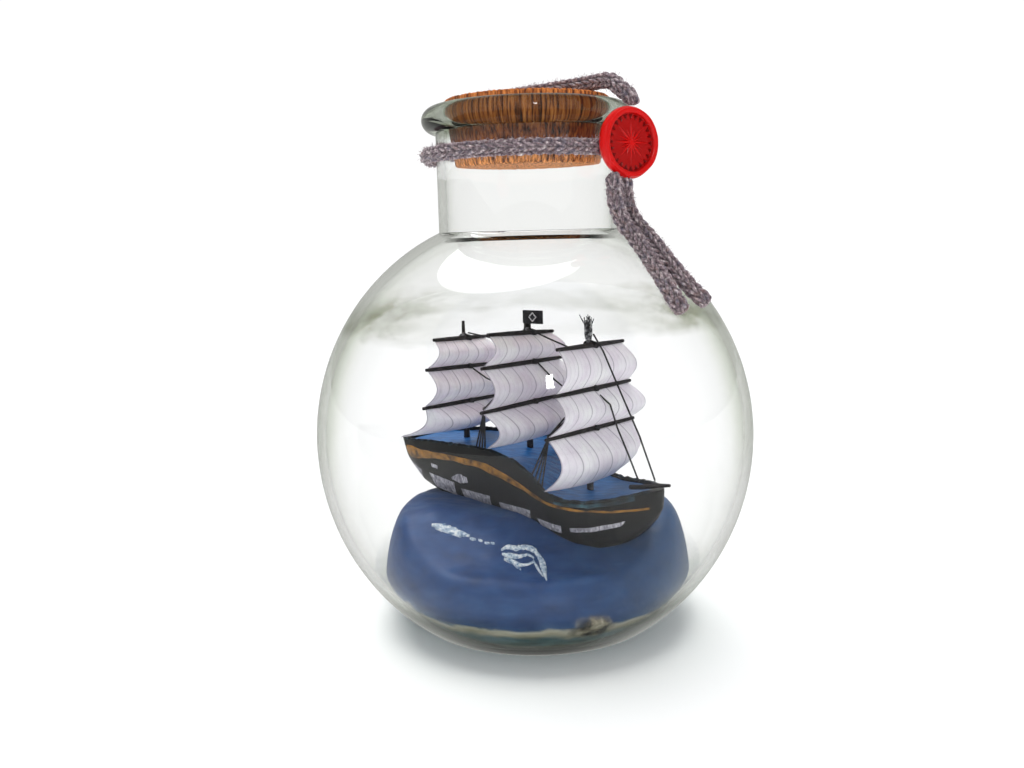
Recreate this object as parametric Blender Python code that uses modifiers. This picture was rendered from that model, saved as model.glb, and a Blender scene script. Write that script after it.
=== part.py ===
"""A ship in a bottle: a three-masted ship on a clay sea inside a round glass bottle.

The bottle is closed with a cork, a knitted cord and a wax seal.  The script stands alone:
blender --background --python part.py, or Blender's text editor.  Metres, +Z up, the origin
at the centre of the bottle's base, the bottle's front towards -Y.

Places on the ship are given as (s, t, z): s forward from the main mast, t to starboard and
z above the bottle's base.
"""

import math
from math import cos, pi, sin, sqrt

import bmesh
import bpy
from mathutils import Matrix, Vector

MM = 0.001
GAP = 0.3 * MM  # between pieces that touch
MERGE = 0.00001  # points nearer than this are one point

# The bottle
BOWL_R = 75.0 * MM
BOWL_RISE = 76.8 * MM  # the upper half's height above the widest ring
BOWL_DEPTH = 78.0 * MM  # and the lower half's below it, before the base cuts it off
BOWL_CENTRE_Z = 65.0 * MM
WALL = 3.0 * MM
BASE_THICK = 5.5 * MM
FOOT_R = 38.5 * MM  # outer edge of the flat ring that the bottle stands on
FOOT_WIDTH = 6.0 * MM
PUNT_H = 2.2 * MM
NECK_R = 30.7 * MM
NECK_H = 32.4 * MM
BEAD_H = 8.6 * MM
BEAD_OUT = 4.6 * MM  # how far the rolled rim stands out from the neck
MOUTH_R = 27.8 * MM
TURN_STEPS = 48

# The cork
CORK_H = 22.5 * MM
CORK_STANDS = 2.2 * MM
CORK_FOOT_R = 24.4 * MM
CORK_CHAMFER = 0.7 * MM

# The cords and the seal
CORD_D = 5.2 * MM
LOOP_DROP = 7.3 * MM  # from the rolled rim down to the middle of the neck cord
STRAP_AZIMUTH = -31.0  # degrees from +X, where the strap meets the seal
STRAP_BACK = 128.0  # degrees from +X, where it goes down behind the neck
SEAL_AZIMUTH = -39.0  # degrees from +X
SEAL_W = 23.6 * MM
SEAL_H = 22.4 * MM
SEAL_THICK = 4.0 * MM
SEAL_RIM = 2.4 * MM
SEAL_DISH = 0.9 * MM
SEAL_DROP = 6.3 * MM  # from the rolled rim down to the seal's middle
SEAL_OUT = 5.1 * MM  # from the rolled rim out to the seal's middle
SEAL_FACING = 38.0  # degrees that the seal's face turns from -Y towards +X

# The sea
SEA_TOP_Z = 39.0 * MM
SEA_FRONT_FALL = 11.0 * MM
SEA_TOP_R = 45.0 * MM
SEA_EDGE_Z = 17.0 * MM
SEA_STEPS = 44

# The ship
SHIP_X = -1.5 * MM
SHIP_Y = 3.0 * MM
SHIP_HEADING = -39.0  # degrees from +X
BULWARK = 1.2 * MM
DECK_WELL = 1.7 * MM
DECK_THICK = 0.8 * MM
MAST_D = 2.3 * MM
YARD_D = 1.7 * MM
BOWSPRIT_D = 1.7 * MM
BOWSPRIT_RUN = [(42.0, 0.4), (47.0, 0.1), (52.5, 0.1), (56.8, 0.5)]  # (s, above the rail) in mm
SAIL_THICK = 0.35 * MM
THREAD_D = 0.6 * MM

# Hull lines, bow last: (s, half beam, rail height, keel height) in mm
HULL_LINES = [
    (-57.0, 9.0, 57.8, 52.0),
    (-53.0, 11.8, 57.6, 45.2),
    (-46.0, 13.6, 58.0, 39.4),
    (-37.0, 14.8, 59.0, 36.2),
    (-24.0, 16.2, 59.7, 35.4),
    (-12.0, 17.2, 60.3, 35.0),
    (-2.0, 17.7, 60.0, 34.4),
    (8.0, 18.1, 57.8, 33.0),
    (15.0, 18.4, 54.0, 31.4),
    (21.0, 18.4, 49.0, 29.8),
    (28.0, 18.2, 47.8, 28.8),
    (36.0, 17.0, 48.2, 29.6),
    (43.0, 13.2, 49.4, 33.0),
    (48.0, 8.2, 50.6, 37.4),
    (52.0, 3.6, 51.6, 41.8),
    (54.0, 1.4, 52.0, 45.4),
]

# Masts: (name, place along the ship, height of the top above the base) in mm
MASTS = [("mizzen", -30.8, 103.0), ("main", 0.0, 100.4), ("fore", 26.0, 106.0)]

# Yards, lowest first: (height above the base, half length, shift to starboard, how far the
# starboard end is cocked up) in mm
YARDS = {
    "mizzen": [(73.3, 20.5, 4.0, 0.5), (86.4, 18.3, 4.0, 0.9), (97.0, 14.0, 4.0, 0.6)],
    "main": [(75.8, 24.0, 4.0, 0.1), (90.0, 21.5, 5.5, 0.5), (100.4, 17.5, 6.0, 0.9)],
    "fore": [(69.2, 25.2, 1.6, 0.6), (82.6, 22.0, 0.5, 0.3), (97.1, 18.8, 1.5, 0.4)],
}
TIERS = ["course", "topsail", "topgallant"]

# Sails: how far each bellies forward, lowest first, and where the lowest one's corners are
# drawn out to: (s, t, height above the rail) in mm
BELLY = [6.0 * MM, 4.8 * MM, 3.6 * MM]
PORT_BELLY = 0.35  # how much deeper a sail bellies at its port edge
CLEWS = {
    "mizzen": (-53.0, 13.4, 1.0),
    "main": (-4.8, 17.4, 1.0),
    "fore": (20.8, 18.6, 1.0),
}
FOOT_ABOVE_RAIL = 4.2 * MM
SHROUD_CLEAR = 1.7 * MM  # from a lowest sail's corner back to the first shroud's foot
SHROUD_STEP = 1.4 * MM
SHROUD_ARM = 0.80  # of a lower yard's half length, where its shrouds are tied

GLASS = ("clear_glass", (0.86, 0.90, 0.86), 0.03, 0.0)
CORK = ("agglomerated_cork", (0.62, 0.30, 0.12), 0.8, 0.0)
WOOL = ("tweed_wool", (0.36, 0.29, 0.32), 0.95, 0.0)
WAX = ("red_sealing_wax", (0.72, 0.01, 0.01), 0.3, 0.0)
SEA = ("blue_painted_clay", (0.03, 0.13, 0.34), 0.35, 0.0)
HULL_PAINT = ("black_hull_paint", (0.02, 0.02, 0.02), 0.4, 0.0)
DECK_PAINT = ("blue_deck_paint", (0.02, 0.16, 0.42), 0.45, 0.0)
SPAR = ("blackened_spar_wood", (0.03, 0.02, 0.02), 0.55, 0.0)
SAILCLOTH = ("white_sailcloth", (0.85, 0.83, 0.88), 0.85, 0.0)
THREAD = ("black_thread", (0.02, 0.02, 0.02), 0.8, 0.0)
FLAG_CLOTH = ("black_flag_cloth", (0.02, 0.02, 0.03), 0.8, 0.0)


def collection(name):
    made = bpy.data.collections.new(name)
    bpy.context.scene.collection.children.link(made)
    return made


for stale in list(bpy.data.objects):
    bpy.data.objects.remove(stale, do_unlink=True)
PARTS = collection("ship_in_a_bottle")
CUTTERS = collection("cutters")


# Shared helpers


def material(look):
    name, colour, roughness, metallic = look
    made = bpy.data.materials.get(name)
    if made is None:
        made = bpy.data.materials.new(name)
        made.use_nodes = True
        shader = made.node_tree.nodes["Principled BSDF"]
        shader.inputs["Base Color"].default_value = (*colour, 1.0)
        shader.inputs["Roughness"].default_value = roughness
        shader.inputs["Metallic"].default_value = metallic
    return made


def add(name, data, look, home=None):
    made = bpy.data.objects.new(name, data)
    (home or PARTS).objects.link(made)
    if look is not None:
        data.materials.append(material(look))
    return made


def mesh_from(name, bm):
    """A mesh with its coincident points joined and its faces pointing out."""
    bmesh.ops.remove_doubles(bm, verts=bm.verts, dist=MERGE)
    bmesh.ops.dissolve_degenerate(bm, edges=bm.edges, dist=MERGE / 2)
    bmesh.ops.recalc_face_normals(bm, faces=bm.faces)
    data = bpy.data.meshes.new(name)
    bm.to_mesh(data)
    bm.free()
    data.shade_smooth()
    data.set_sharp_from_angle(angle=math.radians(40))
    return data


def applied(made):
    """The mesh of an object as its modifiers leave it, in the object's own space."""
    graph = bpy.context.evaluated_depsgraph_get()
    return bpy.data.meshes.new_from_object(made.evaluated_get(graph))


def turned(name, outline, look, steps=TURN_STEPS):
    """Turn an outline of (radius, height) points about Z."""
    bm = bmesh.new()
    verts = [bm.verts.new((r, 0, z)) for r, z in outline]
    for a, b in zip(verts, verts[1:]):
        bm.edges.new((a, b))
    data = bpy.data.meshes.new(name)
    bm.to_mesh(data)
    bm.free()
    made = add(name, data, look)
    screw = made.modifiers.new("turn", "SCREW")
    screw.steps = steps
    screw.render_steps = steps
    screw.use_merge_vertices = True
    screw.merge_threshold = MERGE
    screw.use_smooth_shade = True
    return made


def arc(centre_r, centre_z, half_w, half_h, start, end, count):
    """Points on an ellipse in the (radius, height) plane; 0 degrees is outward, 90 is up."""
    angles = [math.radians(start + (end - start) * i / count) for i in range(count + 1)]
    return [(centre_r + half_w * cos(a), centre_z + half_h * sin(a)) for a in angles]


def smooth_path(points, step):
    """Points about a step apart on a smooth curve through the given ones."""
    knots = [Vector(p) for p in points]
    ends = [2 * knots[0] - knots[1], *knots, 2 * knots[-1] - knots[-2]]
    path = []
    for a, b, c, d in zip(ends, ends[1:], ends[2:], ends[3:]):
        count = max(1, round((c - b).length / step))
        for i in range(count):
            u = i / count
            path.append(
                0.5
                * (
                    2 * b
                    + (c - a) * u
                    + (2 * a - 5 * b + 4 * c - d) * u**2
                    + (3 * b - a - 3 * c + d) * u**3
                )
            )
    return [*path, knots[-1]]


def tube(name, path, diameter, look, sides=2, taper=None):
    """A round rod along a path; taper scales its radius at each point."""
    data = bpy.data.curves.new(name, "CURVE")
    data.dimensions = "3D"
    data.bevel_depth = diameter / 2
    data.bevel_resolution = sides
    data.use_fill_caps = True
    spline = data.splines.new("POLY")
    spline.points.add(len(path) - 1)
    for i, (point, place) in enumerate(zip(spline.points, path)):
        point.co = (*place, 1.0)
        point.radius = taper[i] if taper else 1.0
    return add(name, data, look)


def tube_mesh(name, path, diameter, sides=2):
    """The closed mesh of a round rod, for joining to others."""
    rod = tube(name, path, diameter, None, sides)
    data = applied(rod)
    bpy.data.objects.remove(rod, do_unlink=True)
    bm = bmesh.new()
    bm.from_mesh(data)
    bpy.data.meshes.remove(data)
    return mesh_from(name, bm)


def union(name, meshes, look):
    """Join closed meshes that pass into each other into one body."""
    made = add(name, meshes[0], look)
    for i, data in enumerate(meshes[1:]):
        other = add(f"{name}_join_{i}", data, None, CUTTERS)
        other.hide_render = True
        other.display_type = "WIRE"
        join = made.modifiers.new(f"join_{i}", "BOOLEAN")
        join.operation = "UNION"
        join.solver = "EXACT"
        join.object = other
    return made


def eased(x):
    """0 below 0, 1 above 1 and smooth between them."""
    x = min(1.0, max(0.0, x))
    return x * x * (3 - 2 * x)


# The bottle and its closure

SHOULDER_Z = BOWL_CENTRE_Z + BOWL_RISE * sqrt(1 - (NECK_R / BOWL_R) ** 2)
MOUTH_Z = SHOULDER_Z + NECK_H + BEAD_H
BEAD_Z = MOUTH_Z - BEAD_H / 2
BEAD_R = NECK_R + BEAD_OUT


def inner_bowl_r(z, inset=0.0):
    """The radius of the bottle's inner wall at a height, less an inset."""
    across = BOWL_R - WALL - inset
    deep = (BOWL_DEPTH if z < BOWL_CENTRE_Z else BOWL_RISE) - WALL - inset
    return across * sqrt(max(0.0, 1 - ((z - BOWL_CENTRE_Z) / deep) ** 2))


def bottle():
    inner = BOWL_R - WALL
    inner_deep = BOWL_DEPTH - WALL
    inner_rise = BOWL_RISE - WALL
    floor_angle = math.degrees(math.asin((BASE_THICK - BOWL_CENTRE_Z) / inner_deep))
    neck_in_angle = math.degrees(math.acos(MOUTH_R / inner))
    neck_out_angle = math.degrees(math.acos(NECK_R / BOWL_R))
    corner_z = 1.8 * MM
    corner_angle = math.degrees(math.asin((corner_z - BOWL_CENTRE_Z) / BOWL_DEPTH))
    outline = [(0.0, BASE_THICK + PUNT_H), (FOOT_R * 0.45, BASE_THICK + PUNT_H / 2)]
    outline += arc(0, BOWL_CENTRE_Z, inner, inner_deep, floor_angle, 0, 9)
    outline += arc(0, BOWL_CENTRE_Z, inner, inner_rise, 0, neck_in_angle, 9)[1:]
    outline += [(MOUTH_R, MOUTH_Z - 1.2 * MM)]
    outline += [(MOUTH_R + 0.4 * MM, MOUTH_Z - 0.3 * MM)]
    outline += arc(NECK_R, BEAD_Z, BEAD_OUT, BEAD_H / 2, 110, -90, 8)
    outline += [(NECK_R, SHOULDER_Z + NECK_H / 2)]
    outline += arc(0, BOWL_CENTRE_Z, BOWL_R, BOWL_RISE, neck_out_angle, 0, 10)
    outline += arc(0, BOWL_CENTRE_Z, BOWL_R, BOWL_DEPTH, 0, corner_angle, 9)[1:]
    outline += [(FOOT_R + 2.6 * MM, 0.5 * MM), (FOOT_R, 0.0)]
    outline += [(FOOT_R - FOOT_WIDTH, 0.0), (FOOT_R * 0.5, PUNT_H * 0.8), (0.0, PUNT_H)]
    turned("bottle", outline, GLASS)


def cork():
    top = MOUTH_Z + CORK_STANDS
    foot = top - CORK_H
    top_r = MOUTH_R - GAP
    outline = [
        (0.0, top),
        (top_r - CORK_CHAMFER, top),
        (top_r, top - CORK_CHAMFER),
        (top_r, MOUTH_Z - CORK_CHAMFER),
        (CORK_FOOT_R, foot + CORK_CHAMFER),
        (CORK_FOOT_R - CORK_CHAMFER, foot),
        (0.0, foot),
    ]
    turned("cork", outline, CORK)


LOOP_R = NECK_R + GAP + CORD_D / 2
LOOP_Z = MOUTH_Z - BEAD_H - LOOP_DROP


def neck_cord():
    bpy.ops.mesh.primitive_torus_add(
        major_radius=LOOP_R,
        minor_radius=CORD_D / 2,
        major_segments=TURN_STEPS,
        minor_segments=10,
        location=(0, 0, LOOP_Z),
    )
    made = bpy.context.object
    made.name = "neck_cord"
    made.data.name = "neck_cord"
    made.data.shade_smooth()
    made.data.materials.append(material(WOOL))
    for home in list(made.users_collection):
        home.objects.unlink(made)
    PARTS.objects.link(made)


def seal_frame():
    """The seal's middle, and its frame: +X across its face, +Y up it and +Z out of it."""
    azimuth = math.radians(SEAL_AZIMUTH)
    out = BEAD_R + SEAL_OUT
    z = MOUTH_Z - BEAD_H - SEAL_DROP
    facing = math.radians(SEAL_FACING)
    middle = Vector((out * cos(azimuth), out * sin(azimuth), z))
    normal = Vector((sin(facing), -cos(facing), 0))
    across = Vector((cos(facing), sin(facing), 0))
    turn = Matrix((across, Vector((0, 0, 1)), normal)).transposed()
    return middle, turn


def wax_seal():
    radius = SEAL_H / 2
    face = SEAL_THICK / 2
    outline = [
        (0.0, face - SEAL_DISH),
        (radius - SEAL_RIM - 0.8 * MM, face - SEAL_DISH),
        (radius - SEAL_RIM, face),
        (radius - 0.8 * MM, face),
        (radius, face - 1.0 * MM),
        (radius, 1.0 * MM - face),
        (radius - 0.8 * MM, -face),
        (0.0, -face),
    ]
    made = turned("wax_seal", outline, WAX, steps=40)
    middle, turn = seal_frame()
    widen = Matrix.Diagonal((SEAL_W / SEAL_H, 1, 1)).to_4x4()
    made.matrix_world = Matrix.Translation(middle) @ turn.to_4x4() @ widen


def strap_cord():
    """From behind the neck, over the rim and the cork, to the top of the seal."""
    front, back = (
        Vector((cos(math.radians(a)), sin(math.radians(a)), 0)) for a in (STRAP_AZIMUTH, STRAP_BACK)
    )
    clear = CORD_D / 2 + GAP + 0.15 * MM
    beside = BEAD_R + clear
    over_cork = MOUTH_Z + CORK_STANDS + clear
    behind = LOOP_Z + CORD_D / 2 + GAP + 0.3 * MM
    seal_top = MOUTH_Z - BEAD_H - SEAL_DROP + SEAL_H / 2 + 2 * GAP
    run = [
        (-beside, behind),
        (-beside, BEAD_Z - 1.5 * MM),
        (-beside + 0.6 * MM, BEAD_Z + 3.2 * MM),
        (-BEAD_R + 1.3 * MM, MOUTH_Z + clear - 0.4 * MM),
        (-BEAD_R + 6.0 * MM, over_cork + 0.2 * MM),
        (-BEAD_R / 2, over_cork + 0.1 * MM),
        (0.0, over_cork),
        (BEAD_R / 2, over_cork + 0.1 * MM),
        (BEAD_R - 6.0 * MM, over_cork + 0.2 * MM),
        (BEAD_R - 1.3 * MM, MOUTH_Z + clear - 0.4 * MM),
        (beside - 0.8 * MM, BEAD_Z + 4.2 * MM),
        (beside, seal_top + 1.5 * MM),
        (beside, seal_top),
    ]
    places = []
    for r, z in run:
        share = (r / beside + 1) / 2
        places.append((back.lerp(front, share) * beside) + Vector((0, 0, z)))
    tube("strap_cord", smooth_path(places, CORD_D * 0.6), CORD_D, WOOL)


# The cord's free ends: points below the seal, then on the bottle's shoulder, in mm
TAILS = {
    "tail_cord_left": [
        (26.2, -30.0, 149.3),
        (26.5, -29.8, 144.6),
        (27.5, -28.8, 140.7),
        (29.4, -27.9, 136.5),
        (32.2, -28.9, 132.9),
        (34.8, -32.5, 128.6),
        (37.4, -37.6, 124.0),
        (39.9, -41.9, 119.1),
        (42.4, -45.0, 114.4),
        (45.0, -47.2, 110.0),
    ],
    "tail_cord_right": [
        (30.0, -25.4, 148.6),
        (30.3, -25.1, 145.3),
        (31.1, -24.2, 141.8),
        (33.0, -23.4, 137.8),
        (36.5, -25.0, 133.3),
        (39.7, -29.5, 128.8),
        (42.6, -35.0, 124.3),
        (45.6, -39.1, 119.9),
        (49.1, -41.7, 115.7),
        (53.0, -42.8, 112.0),
    ],
}


def tail_cords():
    for name, points in TAILS.items():
        path = smooth_path([Vector(p) * MM for p in points], CORD_D / 2)
        tube(name, path, CORD_D, WOOL)


# The ship's frame

HEADING = math.radians(SHIP_HEADING)
FORWARD = Vector((cos(HEADING), sin(HEADING), 0))
STARBOARD = Vector((sin(HEADING), -cos(HEADING), 0))
MAIN_MAST = Vector((SHIP_X, SHIP_Y, 0))


def on_ship(s, t, z):
    return MAIN_MAST + FORWARD * s + STARBOARD * t + Vector((0, 0, z))


def hull_line(s, column):
    """A hull line's value at a place along the ship; 1 half beam, 2 rail, 3 keel."""
    rows = [tuple(value * MM for value in row) for row in HULL_LINES]
    if s <= rows[0][0]:
        return rows[0][column]
    for a, b in zip(rows, rows[1:]):
        if s <= b[0]:
            return a[column] + (b[column] - a[column]) * (s - a[0]) / (b[0] - a[0])
    return rows[-1][column]


def section(half_beam, rail, keel, grow, well, inside):
    """One cross-section of the hull as (t, z) points, starboard rail first.

    grow widens it for the sea's trough; well is the deck's depth below the rail.
    """
    half_beam += grow
    keel -= grow
    points = []
    for i in range(13):
        a = pi * i / 12
        t = half_beam * math.copysign(abs(cos(a)) ** 0.62, cos(a))
        points.append((t, rail - (rail - keel) * sin(a) ** 1.25))
    well_t = half_beam - inside
    floor = rail - well
    return [*points, (-well_t, rail), (-well_t, floor), (well_t, floor), (well_t, rail)]


def loft(sections):
    """A closed body through a list of (s, section) pairs."""
    bm = bmesh.new()
    rings = [[bm.verts.new(on_ship(s, t, z)) for t, z in ring] for s, ring in sections]
    for a, b in zip(rings, rings[1:]):
        for i in range(len(a)):
            j = (i + 1) % len(a)
            bm.faces.new((a[i], a[j], b[j], b[i]))
    bm.faces.new(reversed(rings[0]))
    bm.faces.new(rings[-1])
    return bm


def hull_body(name, grow):
    """The hull, or with grow the same shape a little larger and without its deck well."""
    rows = [tuple(value * MM for value in row) for row in HULL_LINES]
    sections = []
    for i, (s, half_beam, rail, keel) in enumerate(rows):
        open_here = grow == 0 and 0 < i < len(rows) - 2
        well = DECK_WELL if open_here else 0.0
        inside = min(BULWARK, half_beam / 2)
        sections.append((s, section(half_beam, rail, keel, grow, well, inside)))
    if grow:
        sections[0] = (rows[0][0] - grow, sections[0][1])
        sections[-1] = (rows[-1][0] + grow, sections[-1][1])
    return mesh_from(name, loft(sections))


def hull():
    add("hull", hull_body("hull", 0.0), HULL_PAINT)


def deck():
    """The painted deck board, laid in the well behind the bulwark."""
    rows = [tuple(value * MM for value in row) for row in HULL_LINES[1:-2]]
    sections = []
    for i, (s, half_beam, rail, _) in enumerate(rows):
        if i == 0:
            s += GAP * 2
        if i == len(rows) - 1:
            s -= GAP * 2
        t = half_beam - BULWARK - GAP * 1.5
        low = rail - DECK_WELL + GAP
        top = low + DECK_THICK
        sections.append((s, [(t, top), (t, low), (-t, low), (-t, top)]))
    add("deck", mesh_from("deck", loft(sections)), DECK_PAINT)


def deck_z(s):
    """The top of the deck board at a place along the ship."""
    return hull_line(s, 2) - DECK_WELL + GAP + DECK_THICK


def sea_base():
    """A clay mound that fills the bottom of the bottle, with a trough that the hull sits in."""
    contact_r = inner_bowl_r(SEA_EDGE_Z, GAP)
    rings = [0.0, 0.2, 0.4, 0.6, 0.8, 1.0]
    bm = bmesh.new()
    grid = []
    for i in range(SEA_STEPS):
        a = 2 * pi * i / SEA_STEPS
        column = []
        for share in rings[1:]:
            column.append((SEA_TOP_R * share, None))
        column.append((SEA_TOP_R + (contact_r - SEA_TOP_R) * 0.4, 0.84))
        column.append((SEA_TOP_R + (contact_r - SEA_TOP_R) * 0.75, 0.54))
        column.append((contact_r, 0.0))
        line = []
        for r, share in column:
            x = r * cos(a)
            y = r * sin(a)
            top = SEA_TOP_Z - SEA_FRONT_FALL * eased((-y - 5 * MM) / (35 * MM))
            top += 0.7 * MM * sin(x / (7 * MM)) * cos(y / (9 * MM))
            z = top if share is None else SEA_EDGE_Z + (top - SEA_EDGE_Z) * share
            line.append(bm.verts.new((x, y, z)))
        floor_z = BASE_THICK + PUNT_H + GAP
        for k in range(1, 4):
            z = SEA_EDGE_Z + (floor_z - SEA_EDGE_Z) * k / 3
            r = inner_bowl_r(z, GAP * 1.5)
            line.append(bm.verts.new((r * cos(a), r * sin(a), z)))
        grid.append(line)
    top_middle = bm.verts.new((0, 0, SEA_TOP_Z))
    low_middle = bm.verts.new((0, 0, BASE_THICK + PUNT_H + GAP))
    for i in range(SEA_STEPS):
        a = grid[i]
        b = grid[(i + 1) % SEA_STEPS]
        bm.faces.new((top_middle, a[0], b[0]))
        for k in range(len(a) - 1):
            bm.faces.new((a[k], a[k + 1], b[k + 1], b[k]))
        bm.faces.new((a[-1], low_middle, b[-1]))
    made = add("sea_base", mesh_from("sea_base", bm), SEA)
    trough = add("hull_trough", hull_body("hull_trough", GAP), None, CUTTERS)
    trough.hide_render = True
    trough.display_type = "WIRE"
    cut = made.modifiers.new("trough", "BOOLEAN")
    cut.operation = "DIFFERENCE"
    cut.solver = "EXACT"
    cut.object = trough


def bowsprit():
    """A spar laid along the fore end of the rail and out over the stem."""
    path = []
    for s, rise in BOWSPRIT_RUN:
        z = hull_line(s * MM, 2) + BOWSPRIT_D / 2 + GAP + rise * MM
        path.append(on_ship(s * MM, 0, z))
    tube("bowsprit", path, BOWSPRIT_D, SPAR, taper=[1.0, 1.0, 0.9, 0.6])


YARD_AHEAD = (MAST_D + YARD_D) / 2 + GAP  # from a mast's middle to its yards' middles


def masts():
    for name, s, top in MASTS:
        s *= MM
        foot = deck_z(s + MAST_D / 2)
        foot = max(foot, deck_z(s - MAST_D / 2)) + GAP
        path = [on_ship(s, 0, foot), on_ship(s, 0, (foot + top * MM) / 2), on_ship(s, 0, top * MM)]
        tube(f"{name}_mast", path, MAST_D, SPAR, taper=[1.0, 0.85, 0.5])


def yards():
    for name, s, _ in MASTS:
        for tier, (z, half, shift, cock) in zip(TIERS, YARDS[name]):
            path = []
            for p in (-1.0, -0.5, 0.0, 0.5, 1.0):
                t = (shift + half * p) * MM
                path.append(on_ship(s * MM + YARD_AHEAD, t, (z + cock * p) * MM))
            taper = [0.65, 0.9, 1.0, 0.9, 0.65]
            tube(f"{name}_{tier}_yard", path, YARD_D, SPAR, taper=taper)


SAIL_SHARE = 0.94  # of a yard's length that its sail takes
SAIL_DROP = YARD_D / 2 + SAIL_THICK + GAP


def sail_points(mast, s, tier, u, v):
    """A point on a sail: u from -1, port, to 1, starboard; v from 0, the head, to 1, the foot."""
    rows = YARDS[mast]
    head_z, half, shift, cock = (value * MM for value in rows[tier])
    out = SAIL_SHARE * u
    head = Vector((s, shift + half * out, head_z + cock * out - SAIL_DROP))
    if tier:
        foot_z, half, shift, cock = (value * MM for value in rows[tier - 1])
        foot = Vector((s, shift + half * out, foot_z + cock * out + SAIL_DROP))
    else:
        clew_s, clew_t, lift = (value * MM for value in CLEWS[mast])
        middle = Vector((s + BELLY[0] * 0.4, 0, hull_line(s, 2) + FOOT_ABOVE_RAIL))
        clew = Vector((clew_s, clew_t, hull_line(clew_s, 2) + lift))
        drawn = abs(u) ** 3
        foot = middle.lerp(clew, drawn)
        foot.y = clew.y * math.copysign(abs(u) ** 0.9, u)
    place = head.lerp(foot, v)
    place.x += BELLY[tier] * sin(pi * v) * (1 + PORT_BELLY * max(0.0, -u))
    return place


def sails():
    across = 8
    down = 6
    for mast, s, _ in MASTS:
        for tier, title in enumerate(TIERS):
            bm = bmesh.new()
            grid = []
            for k in range(down + 1):
                row = []
                for i in range(across + 1):
                    u = 2 * i / across - 1
                    place = sail_points(mast, s * MM + YARD_AHEAD, tier, u, k / down)
                    row.append(bm.verts.new(on_ship(*place)))
                grid.append(row)
            for a, b in zip(grid, grid[1:]):
                for i in range(across):
                    bm.faces.new((a[i], a[i + 1], b[i + 1], b[i]))
            name = f"{mast}_{title}_sail"
            made = add(name, mesh_from(name, bm), SAILCLOTH)
            thick = made.modifiers.new("thickness", "SOLIDIFY")
            thick.thickness = SAIL_THICK
            thick.offset = 0.0


def shrouds():
    """Threads from the rail up to each lower yard's arm, then on to the mast as one set."""
    for mast in ("main", "fore"):
        s = dict((name, place) for name, place, _ in MASTS)[mast] * MM
        yard_z, half, shift, _ = (value * MM for value in YARDS[mast][0])
        for side, word in ((1, "starboard"), (-1, "port")):
            arm_t = side * half * SHROUD_ARM + shift
            knot = on_ship(s - 0.4 * MM, arm_t, yard_z + 0.6 * MM)
            bm = bmesh.new()
            bmesh.ops.create_icosphere(bm, subdivisions=1, radius=0.8 * MM)
            bmesh.ops.translate(bm, verts=bm.verts, vec=knot)
            pieces = [mesh_from("knot", bm)]
            for i in range(4):
                foot_s = CLEWS[mast][0] * MM - SHROUD_CLEAR - i * SHROUD_STEP
                foot_t = side * (hull_line(foot_s, 1) - BULWARK / 2)
                foot_z = hull_line(foot_s, 2) + THREAD_D / 2 + GAP
                path = [on_ship(foot_s, foot_t, foot_z), knot]
                pieces.append(tube_mesh("thread", path, THREAD_D))
            mast_side = side * (MAST_D / 2 + THREAD_D / 2 + GAP)
            for drop in (1.5 * MM, 4.5 * MM):
                path = [knot, on_ship(s, mast_side, YARDS[mast][1][0] * MM - drop)]
                pieces.append(tube_mesh("thread", path, THREAD_D))
            union(f"{mast}_shrouds_{word}", pieces, THREAD)


# Stays, all on the ship's middle plane: each thread's points as (s, z) in mm
STAYS = {
    "fore_topmast_stay": [(28.0, 100.6), (31.9, 95.0), (37.4, 84.2), (45.6, 68.4), (51.4, 54.4)],
    "fore_stay": [(30.4, 80.4), (34.4, 77.6), (37.2, 70.0), (41.3, 61.8), (45.4, 53.0)],
    "main_topmast_stay": [(3.9, 100.0), (10.0, 98.0), (16.0, 96.2), (24.2, 93.6)],
    "main_stay": [(3.9, 89.8), (10.2, 84.9), (17.0, 80.8), (24.2, 77.0)],
    "mizzen_topmast_stay": [(-28.3, 98.6), (-22.0, 97.8), (-16.2, 97.1), (-1.9, 95.4)],
    "mizzen_stay": [(-26.4, 85.3), (-20.2, 82.3), (-12.0, 80.0), (-1.9, 77.8)],
}


def stays():
    for name, points in STAYS.items():
        tube(name, [on_ship(s * MM, 0, z * MM) for s, z in points], THREAD_D, THREAD)


FLAG_L = 8.6 * MM
FLAG_H = 4.6 * MM
FLAG_THICK = 0.4 * MM
STAFF_D = 2.6 * MM
STAFF_H = 4.6 * MM
FLAG_RISE = 2.6 * MM  # from the block's foot up to the flag's


def flag():
    """A short block on the main masthead, and the flag that streams forward from its side."""
    foot = MASTS[1][2] * MM + GAP
    path = [on_ship(0, 0, foot), on_ship(0, 0, foot + STAFF_H)]
    tube("flag_staff", path, STAFF_D, SPAR, taper=[1.0, 0.85])
    ripple = 0.4 * MM
    beside = STAFF_D / 2 + FLAG_THICK / 2 + ripple + GAP
    bm = bmesh.new()
    columns = []
    for i in range(7):
        s = FLAG_L * i / 6
        t = beside + ripple * sin(2 * pi * i / 6)
        z = foot + FLAG_RISE
        columns.append([bm.verts.new(on_ship(s, t, z + FLAG_H * k)) for k in (0, 1)])
    for a, b in zip(columns, columns[1:]):
        bm.faces.new((a[0], b[0], b[1], a[1]))
    made = add("flag", mesh_from("flag", bm), FLAG_CLOTH)
    thick = made.modifiers.new("thickness", "SOLIDIFY")
    thick.thickness = FLAG_THICK
    thick.offset = 0.0


bottle()
cork()
neck_cord()
wax_seal()
strap_cord()
tail_cords()
hull()
deck()
sea_base()
bowsprit()
masts()
yards()
sails()
shrouds()
stays()
flag()
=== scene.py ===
"""The looks of the ship in a bottle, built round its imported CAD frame.

Lengths are in metres, +Z up, the bottle's front towards -Y.  Places on the ship are
(s, t, z): s forward from the main mast, t to starboard and z above the bottle's base.
"""

import math
from math import cos, pi, sin, sqrt

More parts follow.
